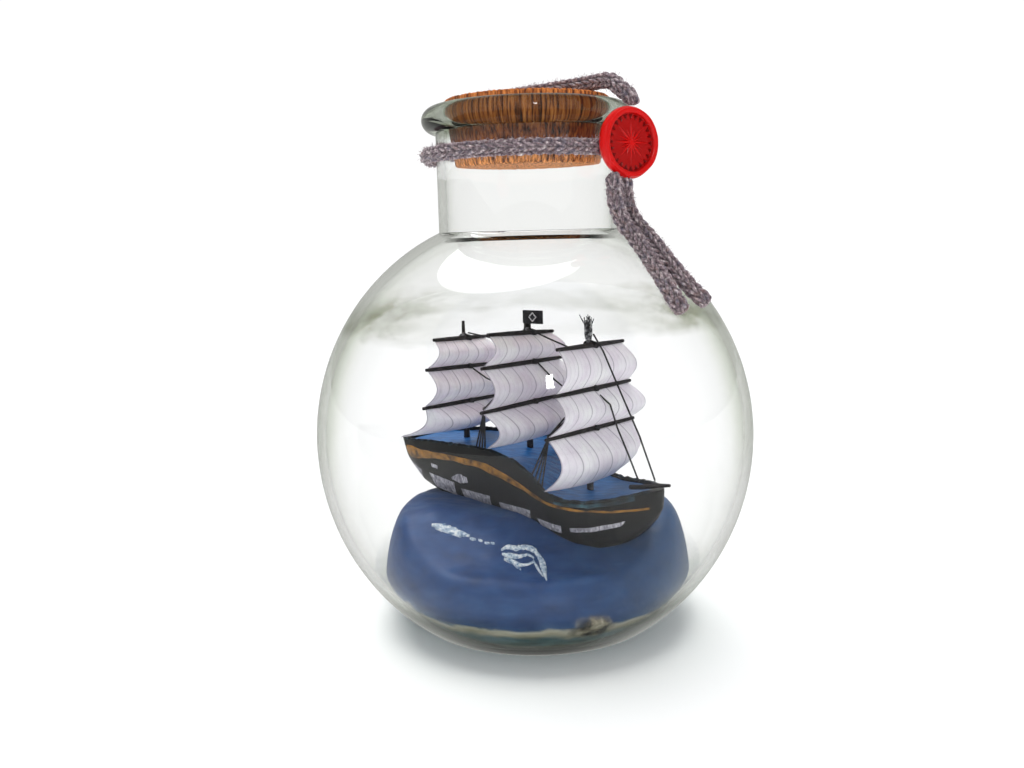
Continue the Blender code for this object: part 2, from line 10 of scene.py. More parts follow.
import bmesh
import bpy
import numpy as np
from mathutils import Matrix, Vector, noise


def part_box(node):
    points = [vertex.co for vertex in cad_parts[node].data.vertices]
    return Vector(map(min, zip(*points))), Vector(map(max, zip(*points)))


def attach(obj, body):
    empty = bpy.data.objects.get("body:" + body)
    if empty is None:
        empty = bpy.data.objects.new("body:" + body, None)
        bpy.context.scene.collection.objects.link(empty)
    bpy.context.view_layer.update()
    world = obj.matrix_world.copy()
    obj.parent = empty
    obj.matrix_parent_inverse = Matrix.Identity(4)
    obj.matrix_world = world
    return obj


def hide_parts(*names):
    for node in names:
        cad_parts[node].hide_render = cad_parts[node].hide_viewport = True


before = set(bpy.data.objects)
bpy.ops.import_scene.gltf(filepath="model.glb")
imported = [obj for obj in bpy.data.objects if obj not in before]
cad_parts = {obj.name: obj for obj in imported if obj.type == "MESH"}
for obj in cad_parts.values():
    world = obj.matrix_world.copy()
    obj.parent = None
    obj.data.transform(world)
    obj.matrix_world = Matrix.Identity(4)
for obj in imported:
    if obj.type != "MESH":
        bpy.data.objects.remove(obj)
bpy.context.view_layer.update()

MM = 0.001
scene = bpy.context.scene
scene.view_settings.view_transform = "Standard"

# Camera: where the lens is, and how the view is turned, in degrees
EYE = (0.0, -0.328, 0.1351)
LENS = 33.4
PITCH = -9.15
YAW = 1.28
ROLL = -1.52

# Sizes that the CAD model also states
WALL = 3.0 * MM
BOWL_CENTRE_Z = 65.0 * MM
BOWL_RISE = 76.8 * MM
BOWL_DEPTH = 78.0 * MM
BASE_THICK = 5.5 * MM
FOOT_R = 38.5 * MM
FOOT_WIDTH = 6.0 * MM
PUNT_H = 2.2 * MM
NECK_R = 30.7 * MM
NECK_H = 32.4 * MM
BEAD_H = 8.6 * MM
BEAD_OUT = 4.6 * MM
MOUTH_R = 27.8 * MM
CORD_D = 5.2 * MM
LOOP_DROP = 7.3 * MM
GAP = 0.3 * MM

BOWL_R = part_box("bottle")[1].x
SHOULDER_Z = BOWL_CENTRE_Z + BOWL_RISE * sqrt(1 - (NECK_R / BOWL_R) ** 2)
MOUTH_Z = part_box("bottle")[1].z
BEAD_Z = MOUTH_Z - BEAD_H / 2
BEAD_R = NECK_R + BEAD_OUT
LOOP_R = NECK_R + GAP + CORD_D / 2
LOOP_Z = MOUTH_Z - BEAD_H - LOOP_DROP


# Shared helpers


def grid_faces(rows, cols, ring=False, loop=False):
    """Quads over a grid of points; ring joins each row's ends, loop joins the last row to the first."""
    r = np.arange(rows if loop else rows - 1)[:, None]
    c = np.arange(cols if ring else cols - 1)[None, :]
    right = (c + 1) % cols
    below = (r + 1) % rows
    quads = np.stack([r * cols + c, r * cols + right, below * cols + right, below * cols + c], -1)
    return quads.reshape(-1, 4)


def build(name, verts, faces, look, body, slot, values=None):
    """A smooth-shaded piece that rides on a body; values are numbers kept at its points."""
    data = bpy.data.meshes.new(name)
    data.from_pydata([tuple(v) for v in verts], [], [tuple(f) for f in faces])
    data.validate()
    solid = bmesh.new()
    solid.from_mesh(data)
    if solid.calc_volume(signed=True) < 0:
        data.flip_normals()
    solid.free()
    data.shade_smooth()
    data.set_sharp_from_angle(angle=math.radians(50))
    data.materials.append(look)
    for key, numbers in (values or {}).items():
        data.attributes.new(key, "FLOAT", "POINT").data.foreach_set("value", numbers)
    made = bpy.data.objects.new(name, data)
    scene.collection.objects.link(made)
    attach(made, body)
    return made


def lathe(outline, steps):
    """A closed outline of (radius, height) turned about Z, its ends on the axis, as points and faces."""
    inner = np.array(outline[1:-1])
    angles = np.arange(steps) * 2 * pi / steps
    x = inner[:, :1] * np.cos(angles)
    y = inner[:, :1] * np.sin(angles)
    z = np.repeat(inner[:, 1:], steps, axis=1)
    verts = np.stack([x, y, z], -1).reshape(-1, 3)
    faces = [tuple(f) for f in grid_faces(len(inner), steps, ring=True)]
    first = len(verts)
    last = first + 1
    ends = np.array([[0, 0, outline[0][1]], [0, 0, outline[-1][1]]])
    low = (len(inner) - 1) * steps
    for i in range(steps):
        j = (i + 1) % steps
        faces.append((first, j, i))
        faces.append((last, low + i, low + j))
    return np.concatenate([verts, ends]), faces


def arc(centre_z, across, up, start, end, count):
    """(radius, height) points on an ellipse about the axis; 0 degrees is outward and 90 is up."""
    angles = np.radians(np.linspace(start, end, count + 1))
    return [(across * cos(a), centre_z + up * sin(a)) for a in angles]


def smooth_path(points, step):
    """Points about a step apart on a smooth curve through the given ones."""
    knots = [Vector(p) for p in points]
    ends = [2 * knots[0] - knots[1], *knots, 2 * knots[-1] - knots[-2]]
    path = []
    for a, b, c, d in zip(ends, ends[1:], ends[2:], ends[3:]):
        count = max(1, round((c - b).length / step))
        for i in range(count):
            u = i / count
            bend = 2 * a - 5 * b + 4 * c - d
            turn = 3 * b - a - 3 * c + d
            path.append(0.5 * (2 * b + (c - a) * u + bend * u**2 + turn * u**3))
    return [*path, knots[-1]]


def even(path, count, closed=False):
    """The path as count + 1 points the same distance apart, and its length."""
    points = np.array([tuple(p) for p in path])
    if closed:
        points = np.concatenate([points, points[:1]])
    along = np.concatenate([[0], np.cumsum(np.linalg.norm(np.diff(points, axis=0), axis=1))])
    at = np.linspace(0, along[-1], count + 1)
    return np.stack([np.interp(at, along, points[:, k]) for k in range(3)], -1), along[-1]


def sleeve(centres, radii, closed=False):
    """A tube's points: radii is (rings, around).  Its frame turns as little as it can."""
    rings, around = radii.shape
    ahead = np.roll(centres, -1, 0) if closed else np.vstack([centres[1:], 2 * centres[-1:] - centres[-2:-1]])
    behind = np.roll(centres, 1, 0) if closed else np.vstack([2 * centres[:1] - centres[1:2], centres[:-1]])
    tangents = ahead - behind
    tangents /= np.linalg.norm(tangents, axis=1)[:, None]
    side = np.cross(tangents[0], (0.13, 0.31, 0.94))
    side /= np.linalg.norm(side)
    sides = []
    for tangent in tangents:
        side = side - tangent * (side @ tangent)
        side /= np.linalg.norm(side)
        sides.append(side)
    sides = np.array(sides)
    ups = np.cross(tangents, sides)
    angles = np.arange(around) * 2 * pi / around
    spokes = sides[:, None] * np.cos(angles)[None, :, None] + ups[:, None] * np.sin(angles)[None, :, None]
    return (centres[:, None] + spokes * radii[:, :, None]).reshape(-1, 3)


def tube_faces(rows, around):
    """Faces for a row of rings of points, closed at both ends."""
    faces = [tuple(f[::-1]) for f in grid_faces(rows, around, ring=True)]
    last = (rows - 1) * around
    return [*faces, tuple(range(around)), tuple(reversed(range(last, last + around)))]


def rod(centres, radii, around=16):
    """The points and faces of a round rod with closed ends."""
    centres = np.asarray(centres, float)
    radii = np.broadcast_to(np.asarray(radii, float)[:, None], (len(centres), around))
    return sleeve(centres, radii), tube_faces(len(centres), around)


def joined(parts):
    """Several (points, faces) bodies as one."""
    verts = []
    faces = []
    count = 0
    for points, polygons in parts:
        verts.append(np.asarray(points))
        faces += [tuple(int(i) + count for i in f) for f in polygons]
        count += len(points)
    return np.concatenate(verts), faces


def slab_faces(rows, cols):
    """Faces for two grids of points, one over the other, closed round their edge."""
    count = rows * cols
    quads = grid_faces(rows, cols)
    faces = [tuple(f) for f in quads] + [tuple(f[::-1] + count) for f in quads]
    rim = list(range(cols)) + [(k + 1) * cols - 1 for k in range(1, rows)]
    rim += [(rows - 1) * cols + i for i in range(cols - 2, -1, -1)]
    rim += [k * cols for k in range(rows - 2, 0, -1)]
    return faces + [(a, a + count, b + count, b) for a, b in zip(rim, rim[1:] + rim[:1])]


class Look:
    """A material with one Principled shader and the nodes that feed it."""

    def __init__(self, name, **inputs):
        self.made = bpy.data.materials.new(name)
        self.made.use_nodes = True
        self.tree = self.made.node_tree
        self.shader = self.tree.nodes["Principled BSDF"]
        for key, value in inputs.items():
            self.set(key.replace("_", " "), value)

    def set(self, key, value):
        socket = self.shader.inputs[key]
        if isinstance(value, bpy.types.NodeSocket):
            self.tree.links.new(value, socket)
        elif isinstance(value, tuple) and len(value) == 3 and socket.type == "RGBA":
            socket.default_value = (*value, 1.0)
        else:
            socket.default_value = value

    def node(self, kind, inputs=None, **settings):
        made = self.tree.nodes.new("ShaderNode" + kind)
        for key, value in settings.items():
            setattr(made, key, value)
        for key, value in (inputs or {}).items():
            if isinstance(value, bpy.types.NodeSocket):
                self.tree.links.new(value, made.inputs[key])
            else:
                made.inputs[key].default_value = value
        return made

    def place(self, scale=(1, 1, 1), turn=(0, 0, 0)):
        """The point on the object in millimetres, stretched by scale."""
        coords = self.node("TexCoord").outputs["Object"]
        size = tuple(1000 * k for k in scale)
        mapping = self.node("Mapping", {"Vector": coords, "Scale": size, "Rotation": turn})
        return mapping.outputs["Vector"]

    def noise(self, scale, detail=3.0, rough=0.55, at=None):
        """Noise from 0 to 1 whose features are about 1 / scale millimetres."""
        at = at or self.place()
        inputs = {"Vector": at, "Scale": scale, "Detail": detail, "Roughness": rough}
        return self.node("TexNoise", inputs).outputs["Fac"]

    def value(self, name):
        return self.node("Attribute", attribute_name=name).outputs["Fac"]

    def height(self):
        return self.node("SeparateXYZ", {"Vector": self.place()}).outputs["Z"]

    def ramp(self, factor, *stops):
        made = self.node("ValToRGB", {"Fac": factor})
        elements = made.color_ramp.elements
        while len(elements) < len(stops):
            elements.new(0.5)
        for element, (position, colour) in zip(elements, stops):
            element.position = position
            colour = (colour,) * 3 if isinstance(colour, (int, float)) else colour
            element.color = (*colour, 1.0)
        return made.outputs["Color"]

    def paint(self, factor, *stops):
        """Colours the surface along a ramp."""
        self.set("Base Color", self.ramp(factor, *stops))

    def mix(self, factor, a, b, blend="MIX"):
        made = self.node("Mix", data_type="RGBA", blend_type=blend)
        for socket, value in ((made.inputs[0], factor), (made.inputs[6], a), (made.inputs[7], b)):
            if isinstance(value, bpy.types.NodeSocket):
                self.tree.links.new(value, socket)
            elif isinstance(value, tuple):
                socket.default_value = (*value, 1.0)
            else:
                socket.default_value = value
        return made.outputs[2]

    def math(self, operation, a, b=0.0):
        made = self.node("Math", operation=operation)
        for socket, value in zip(made.inputs, (a, b)):
            if isinstance(value, bpy.types.NodeSocket):
                self.tree.links.new(value, socket)
            else:
                socket.default_value = value
        return made.outputs[0]

    def bump(self, height, distance, strength=1.0):
        """Raises the surface by up to distance millimetres where height is 1."""
        inputs = {"Height": height, "Distance": distance * MM, "Strength": strength}
        self.set("Normal", self.node("Bump", inputs).outputs["Normal"])


# The camera


def make_camera():
    data = bpy.data.cameras.new("camera")
    data.lens = LENS
    data.clip_start = 0.01
    made = bpy.data.objects.new("camera", data)
    scene.collection.objects.link(made)
    turn = Matrix.Rotation(math.radians(YAW), 4, "Z")
    turn = turn @ Matrix.Rotation(math.radians(90 + PITCH), 4, "X")
    turn = turn @ Matrix.Rotation(math.radians(ROLL), 4, "Z")
    made.matrix_world = Matrix.Translation(EYE) @ turn
    scene.camera = made


make_camera()


# The knitted cords

WALES = 4
STITCH = 2.9 * MM
STITCH_RINGS = 13
LEG_STEPS = 8
STITCH_DEPTH = 1.25 * MM
STITCH_PROUD = 0.25 * MM
FIBRES_PER_RING = 0.9
FIBRE_REACH = 0.9 * MM
LEAN = 1.05


def wool():
    look = Look("tweed_wool", Roughness=0.95)
    look.set("Sheen Weight", 0.35)
    look.set("Sheen Roughness", 0.6)
    at = look.place((1, 1, 1))
    flecks = look.noise(0.95, 2.0, 0.6, at)
    body = look.ramp(
        flecks,
        (0.30, (0.06, 0.038, 0.048)),
        (0.42, (0.19, 0.125, 0.15)),
        (0.52, (0.34, 0.25, 0.275)),
        (0.60, (0.52, 0.42, 0.44)),
        (0.72, (0.88, 0.80, 0.79)),
    )
    warm = look.ramp(look.noise(0.6, 1.0, 0.5), (0.56, 0.0), (0.66, 1.0))
    body = look.mix(look.math("MULTIPLY", warm, 0.35), body, (0.30, 0.15, 0.11))
    cool = look.ramp(look.noise(0.5, 1.0, 0.5, look.place(turn=(1.1, 0.4, 0.2))), (0.57, 0.0), (0.68, 1.0))
    body = look.mix(look.math("MULTIPLY", cool, 0.4), body, (0.10, 0.12, 0.20))
    # Darker in the grooves between the stitches and a little brighter on their tops: painted shade and
    # highlight, from each point's stitch depth.
    depth = look.ramp(look.value("depth"), (0.0, 0.10), (0.45, 0.75), (1.0, 1.15))
    body = look.mix(1.0, body, depth, "MULTIPLY")
    look.set("Base Color", body)
    fibres = look.noise(5.0, 4.0, 0.7, look.place((1, 1, 2.2)))
    look.bump(fibres, 0.25, 0.8)
    return look.made


WOOL = wool()


def stray_fibres(centres, radius, closed, seed):
    """Short curved hairs that stand off a knitted cord, as (points, faces) bodies."""
    draw = np.random.default_rng(seed + 100)
    hairs = []
    last = len(centres) - (1 if closed else STITCH_RINGS)
    for _ in range(int(len(centres) * FIBRES_PER_RING)):
        ring = int(draw.integers(0 if closed else STITCH_RINGS // 2, last - 1))
        tangent = Vector(centres[ring + 1] - centres[ring]).normalized()
        out = Vector(draw.normal(size=3))
        out = (out - tangent * out.dot(tangent)).normalized()
        round_cord = tangent.cross(out)
        reach = FIBRE_REACH * (0.35 + draw.random())
        along = (draw.random() - 0.5) * 2.4 * MM
        curl = (draw.random() - 0.5) * 1.4 * MM
        start = Vector(centres[ring]) + out * (radius - 0.55 * MM)
        points = []
        for q in (0.0, 0.35, 0.7, 1.0):
            rise = out * (0.3 * MM + reach * sin(q * pi * 0.62))
            points.append(start + rise * q**0.5 + tangent * along * q + round_cord * curl * q * q)
        hairs.append(rod(points, [0.07 * MM, 0.06 * MM, 0.05 * MM, 0.03 * MM], 4))
    return hairs


def knit(name, path, body, node, closed=False, diameter=CORD_D, seed=1):
    """A knitted cord of leaning stitches in columns round a tube.  Returns it with its ring centres."""
    _, length = even(path, 2, closed)
    stitches = round(length / STITCH)
    rings = stitches * STITCH_RINGS
    centres, _ = even(path, rings, closed)
    if closed:
        centres = centres[:-1]
    around = WALES * 2 * LEG_STEPS
    across = np.arange(around)[None, :] / LEG_STEPS
    leg = across.astype(int) % 2
    a = across % 1.0
    up = np.arange(len(centres))[:, None] / STITCH_RINGS
    lean = np.where(leg == 0, a, 1 - a) * LEAN
    rise = up + lean
    b = rise % 1.0
    lobes = np.random.default_rng(seed).random((WALES * 2, stitches + 3))
    own = lobes[across.astype(int) % (WALES * 2), rise.astype(int) % stitches]
    pillow = np.sin(pi * (a * 0.9 + 0.05)) ** 0.6 * np.sin(pi * np.clip(b, 0.02, 0.98) ** 0.75) ** 0.6
    depth = np.clip(pillow * (0.78 + 0.22 * own), 0, 1)
    radii = diameter / 2 + STITCH_PROUD - STITCH_DEPTH * (1 - depth)
    if not closed:
        from_end = np.minimum(np.arange(len(centres)), np.arange(len(centres))[::-1]) / (STITCH_RINGS * 0.5)
        radii = radii * np.sqrt(1 - (1 - np.clip(from_end, 0.08, 1)) ** 2)[:, None]
    verts = sleeve(centres, radii, closed)
    if closed:
        faces = [tuple(f[::-1]) for f in grid_faces(len(centres), around, ring=True, loop=True)]
    else:
        faces = tube_faces(len(centres), around)
    parts = [(verts, faces), *stray_fibres(centres, diameter / 2 + STITCH_PROUD, closed, seed)]
    verts, faces = joined(parts)
    # Each point keeps its stitch depth, from which the wool paints shade into the grooves.
    shade = np.ones(len(verts))
    shade[: depth.size] = depth.ravel()
    made = build(name, verts, faces, WOOL, body, "tweed_wool", {"depth": shade})
    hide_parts(node)
    return made, centres


# The cord's free ends, as the CAD model routes them, in mm
TAILS = {
    "tail_cord_left": [
        (26.2, -30.0, 149.3), (26.5, -29.8, 144.6), (27.5, -28.8, 140.7), (29.4, -27.9, 136.5),
        (32.2, -28.9, 132.9), (34.8, -32.5, 128.6), (37.4, -37.6, 124.0), (39.9, -41.9, 119.1),
        (42.4, -45.0, 114.4), (45.0, -47.2, 110.0),
    ],
    "tail_cord_right": [
        (30.0, -25.4, 148.6), (30.3, -25.1, 145.3), (31.1, -24.2, 141.8), (33.0, -23.4, 137.8),
        (36.5, -25.0, 133.3), (39.7, -29.5, 128.8), (42.6, -35.0, 124.3), (45.6, -39.1, 119.9),
        (49.1, -41.7, 115.7), (53.0, -42.8, 112.0),
    ],
}

# Where each free end goes on, out of sight behind the seal, in mm
TUCKED = {"tail_cord_left": (25.5, -29.0, 151.5), "tail_cord_right": (29.0, -24.5, 150.9)}


def tails():
    for seed, (node, points) in enumerate(TAILS.items()):
        whole = [TUCKED[node], *points]
        path = smooth_path([Vector(p) * MM for p in whole], 0.5 * MM)
        made, centres = knit(node + "_knit", path, "sealed_strap", node, seed=seed + 3)


STRAP_AZIMUTH = -31.0
STRAP_BACK = 128.0
SEAL_AZIMUTH = -39.0
SEAL_W = 23.6 * MM
SEAL_H = 22.4 * MM
SEAL_THICK = 4.0 * MM
SEAL_DROP = 6.3 * MM
SEAL_OUT = 5.1 * MM
SEAL_FACING = 38.0
CORK_STANDS = 2.2 * MM


def neck_loop():
    steps = 240
    turns = [2 * pi * i / steps for i in range(steps)]
    path = [(LOOP_R * cos(a), LOOP_R * sin(a), LOOP_Z) for a in turns]
    knit("neck_cord_knit", path, "bottle", "neck_cord", closed=True, seed=7)


def strap():
    front, back = (
        Vector((cos(math.radians(a)), sin(math.radians(a)), 0)) for a in (STRAP_AZIMUTH, STRAP_BACK)
    )
    clear = CORD_D / 2 + GAP + 0.15 * MM
    beside = BEAD_R + clear
    over_cork = MOUTH_Z + CORK_STANDS + clear
    behind = LOOP_Z + CORD_D / 2 + GAP + 0.3 * MM
    seal_top = MOUTH_Z - BEAD_H - SEAL_DROP + SEAL_H / 2 + 2 * GAP
    run = [
        (-beside, behind),
        (-beside, BEAD_Z - 1.5 * MM),
        (-beside + 0.6 * MM, BEAD_Z + 3.2 * MM),
        (-BEAD_R + 1.3 * MM, MOUTH_Z + clear - 0.4 * MM),
        (-BEAD_R + 6.0 * MM, over_cork + 0.2 * MM),
        (-BEAD_R / 2, over_cork + 0.1 * MM),
        (0.0, over_cork),
        (BEAD_R / 2, over_cork + 0.1 * MM),
        (BEAD_R - 6.0 * MM, over_cork + 0.2 * MM),
        (BEAD_R - 1.3 * MM, MOUTH_Z + clear - 0.4 * MM),
        (beside - 0.8 * MM, BEAD_Z + 4.2 * MM),
        (beside, seal_top + 1.5 * MM),
        (beside, seal_top),
    ]
    places = []
    for r, z in run:
        share = (r / beside + 1) / 2
        places.append((back.lerp(front, share) * beside) + Vector((0, 0, z)))
    path = smooth_path(places, 0.5 * MM)
    knit("strap_cord_knit", path, "sealed_strap", "strap_cord", seed=11)


tails()
neck_loop()
strap()


# The glass bottle


def glass():
    look = Look("clear_glass", Roughness=0.0, IOR=1.45)
    look.set("Transmission Weight", 1.0)
    facing = look.node("LayerWeight", {"Blend": 0.5}).outputs["Facing"]
    # Grey-green and darker where the glass is seen edge-on: painted reflection, kept full only in bands of
    # height below.
    clear_to_edge = look.ramp(
        facing,
        (0.0, (1.0, 1.0, 1.0)),
        (0.56, (0.99, 0.995, 0.985)),
        (0.68, (0.84, 0.87, 0.79)),
        (0.80, (0.62, 0.67, 0.57)),
        (1.0, (0.36, 0.40, 0.33)),
    )
    wave = look.math("MULTIPLY", look.noise(0.035, 3.0), 9.0)
    level = look.node(
        "MapRange", {"Value": look.math("ADD", look.height(), wave), "From Min": 0.0, "From Max": 200.0}
    ).outputs[0]
    # The edge-on darkening is a painted reflection of the dim room, the dark crescents at the glass's edges;
    # it stays at full strength only between levels 0.36 and 0.57 and above 0.88.
    edge_reflection_bands = look.ramp(level, (0.28, 0.10), (0.36, 1.0), (0.57, 1.0), (0.62, 0.2), (0.85, 0.3), (0.88, 1.0))
    clear_to_edge = look.mix(edge_reflection_bands, (0.98, 0.985, 0.975), clear_to_edge)
    # Darker olive where the glass is thick, at the base and at the bead; the band at levels 0.548 to 0.602,
    # on the upper bowl whose wall is no thicker, is a painted reflection.
    thick = look.ramp(
        level,
        (0.0, 1.0),
        (0.09, 0.75),
        (0.14, 0.0),
        (0.535, 0.0),
        (0.548, 1.0),
        (0.585, 0.65),
        (0.602, 0.0),
        (0.845, 0.0),
        (0.865, 1.0),
    )
    streaks = look.ramp(look.noise(0.06, 3.0, 0.6, look.place((1, 1, 3))), (0.38, 0.40), (0.60, 1.0))
    oblique = look.ramp(facing, (0.10, 0.12), (0.55, 1.0))
    band = look.math("MULTIPLY", look.math("MULTIPLY", thick, streaks), oblique)
    tinted = look.mix(band, clear_to_edge, (0.26, 0.28, 0.17), "MULTIPLY")
    rim = look.ramp(level, (0.845, 0.0), (0.862, 1.0))
    look.set("Base Color", look.mix(rim, tinted, (0.68, 0.72, 0.66), "MULTIPLY"))
    tree = look.tree
    out = tree.nodes["Material Output"]
    paths = look.node("LightPath")
    clear = look.node("BsdfTransparent", {"Color": (0.97, 0.98, 0.97, 1)})
    surface = look.shader.outputs[0]
    for ray in ("Is Shadow Ray", "Is Diffuse Ray"):
        both = look.node("MixShader")
        tree.links.new(paths.outputs[ray], both.inputs[0])
        tree.links.new(surface, both.inputs[1])
        tree.links.new(clear.outputs[0], both.inputs[2])
        surface = both.outputs[0]
    tree.links.new(surface, out.inputs["Surface"])
    return look.made


def bottle():
    inner = BOWL_R - WALL
    deep = BOWL_DEPTH - WALL
    rise = BOWL_RISE - WALL
    floor = math.degrees(math.asin((BASE_THICK - BOWL_CENTRE_Z) / deep))
    neck_in = math.degrees(math.acos(MOUTH_R / inner))
    neck_out = math.degrees(math.acos(NECK_R / BOWL_R))
    corner_z = 1.8 * MM
    corner = math.degrees(math.asin((corner_z - BOWL_CENTRE_Z) / BOWL_DEPTH))
    outline = [(0.0, BASE_THICK + PUNT_H), (FOOT_R * 0.2, BASE_THICK + PUNT_H * 0.9)]
    outline += [(FOOT_R * 0.45, BASE_THICK + PUNT_H / 2), (FOOT_R * 0.7, BASE_THICK + PUNT_H * 0.12)]
    outline += arc(BOWL_CENTRE_Z, inner, deep, floor, 0, 40)
    outline += arc(BOWL_CENTRE_Z, inner, rise, 0, neck_in, 40)[1:]
    outline += [(MOUTH_R, MOUTH_Z - 1.6 * MM), (MOUTH_R + 0.1 * MM, MOUTH_Z - 0.9 * MM)]
    outline += [(MOUTH_R + 0.4 * MM, MOUTH_Z - 0.35 * MM)]
    angles = np.radians(np.linspace(115, -90, 28))
    outline += [(NECK_R + BEAD_OUT * cos(a), BEAD_Z + BEAD_H / 2 * sin(a)) for a in angles]
    outline += [(NECK_R + 0.05 * MM, MOUTH_Z - BEAD_H - 0.25 * MM), (NECK_R, SHOULDER_Z + NECK_H / 2)]
    outline += [(NECK_R, SHOULDER_Z + 0.6 * MM)]
    outline += arc(BOWL_CENTRE_Z, BOWL_R, BOWL_RISE, neck_out, 0, 44)
    outline += arc(BOWL_CENTRE_Z, BOWL_R, BOWL_DEPTH, 0, corner, 40)[1:]
    outline += [(FOOT_R + 3.1 * MM, 0.8 * MM), (FOOT_R + 1.7 * MM, 0.2 * MM), (FOOT_R, 0.0)]
    outline += [(FOOT_R - FOOT_WIDTH, 0.0), (FOOT_R - FOOT_WIDTH - 1.5 * MM, 0.35 * MM)]
    outline += [(FOOT_R * 0.5, PUNT_H * 0.8), (0.0, PUNT_H)]
    verts, faces = lathe(outline, 192)
    made = build("glass_bottle", verts, faces, glass(), "bottle", "clear_glass")
    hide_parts("bottle")


bottle()


# The cork

CORK_H = 22.5 * MM
CORK_FOOT_R = 24.4 * MM
CORK_CHAMFER = 0.7 * MM


def cork_look():
    look = Look("agglomerated_cork", Roughness=0.85)
    grain = look.noise(0.55, 5.0, 0.68, look.place((2.4, 2.4, 0.30)))
    base = look.ramp(
        grain,
        (0.36, (0.020, 0.007, 0.003)),
        (0.44, (0.16, 0.045, 0.012)),
        (0.52, (0.38, 0.125, 0.028)),
        (0.66, (0.60, 0.25, 0.07)),
    )
    pits = look.ramp(look.noise(0.9, 2.0, 0.5, look.place((2.0, 2.0, 0.6))), (0.62, 0.0), (0.70, 1.0))
    base = look.mix(look.math("MULTIPLY", pits, 0.7), base, (0.06, 0.02, 0.01))
    # Lighter at the foot and at the top and darker in between, by height: painted light and shade.
    height = look.node("MapRange", {"Value": look.height(), "From Min": 155.6, "From Max": 178.6}).outputs[0]
    light = look.ramp(
        height,
        (0.0, (2.1, 2.3, 2.7)),
        (0.10, (1.7, 1.8, 2.0)),
        (0.2, (0.95, 0.9, 0.85)),
        (0.45, (0.6, 0.42, 0.36)),
        (0.62, (1.05, 0.98, 0.95)),
        (0.95, (1.5, 1.3, 1.1)),
    )
    look.set("Base Color", look.mix(1.0, base, light, "MULTIPLY"))
    look.bump(grain, 0.5, 0.8)
    return look.made


def cork():
    top = MOUTH_Z + CORK_STANDS
    foot = top - CORK_H
    top_r = MOUTH_R - GAP
    outline = [(0.0, top)]
    outline += [(r, top) for r in np.linspace(0.08, 0.94, 26) * top_r]
    turns = np.radians(np.linspace(90, 0, 6))
    outline += [(top_r - CORK_CHAMFER * (1 - cos(a)), top - CORK_CHAMFER * (1 - sin(a))) for a in turns]
    outline += [(top_r, z) for z in np.linspace(top - 1.1 * MM, MOUTH_Z - CORK_CHAMFER, 5)]
    for q in np.linspace(0, 1, 26)[1:]:
        z = MOUTH_Z - CORK_CHAMFER + (foot + CORK_CHAMFER * 2 - MOUTH_Z) * q
        outline.append((top_r + (CORK_FOOT_R - top_r) * q, z))
    outline += [(CORK_FOOT_R - 0.2 * MM, foot + 0.25 * MM), (CORK_FOOT_R - CORK_CHAMFER, foot)]
    outline += [(r, foot) for r in np.linspace(0.92, 0.1, 16) * CORK_FOOT_R]
    outline += [(0.0, foot)]
    verts, faces = lathe(outline, 200)
    rough = []
    for x, y, z in verts:
        point = Vector((x * 700, y * 700, z * 180))
        bite = max(0.0, noise.noise(point) - 0.05) * 0.5 * MM
        radius = sqrt(x * x + y * y)
        azimuth = math.atan2(y, x)
        inward = 1 - bite / max(radius, 1 * MM)
        dent = 0.0
        if z > top - 1.2 * MM:
            strokes = 0.5 + 0.5 * sin(azimuth * 110 + radius / MM * 1.6)
            dent = 0.3 * MM * strokes * min(1, radius / top_r * 1.4) + bite
        rough.append((x * inward, y * inward, z - dent if z > foot + 1 * MM else z + bite * 0.6))
    made = build("cork_stopper", rough, faces, cork_look(), "cork", "agglomerated_cork")
    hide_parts("cork")


cork()


# The wax seal


def wax():
    look = Look("red_sealing_wax", Roughness=0.28)
    look.set("Coat Weight", 0.25)
    look.set("Coat Roughness", 0.2)
    look.set("Subsurface Weight", 0.12)
    look.set("Subsurface Radius", (0.004, 0.0006, 0.0004))
    # Dark in the hollows of the stamped impression and full red on its raised parts and rim: painted shade.
    depth = look.value("depth")
    look.paint(depth, (0.0, (0.07, 0.0, 0.0)), (0.45, (0.34, 0.0, 0.0)), (1.0, (0.72, 0.002, 0.002)))
    look.bump(look.noise(0.35, 3.0), 0.35, 0.35)
    return look.made


def impression(share, angle):
    """The height pressed into the seal's dish, 0 deep to 1 proud: a plain star in a ring of ticks."""
    star = 0.0
    for points, reach, width in ((8, 0.86, 0.42), (8, 0.60, 0.40)):
        turn = angle if reach > 0.7 else angle + pi / points
        off = abs(((turn * points / (2 * pi)) + 0.5) % 1.0 - 0.5) * 2
        star = max(star, 1 - share / reach - off / width * (0.35 + share))
    hub = 1.0 if share < 0.13 else 0.0
    tick = 0.0
    if 0.80 < share < 0.97:
        off = abs(((angle * 24 / (2 * pi)) + 0.5) % 1.0 - 0.5) * 2
        tick = 1.0 if off < 0.75 * (share - 0.78) / 0.19 else 0.0
    return min(1.0, max(0.0, star * 2.2)) * 0.75 + hub * 0.25 - tick * 0.55


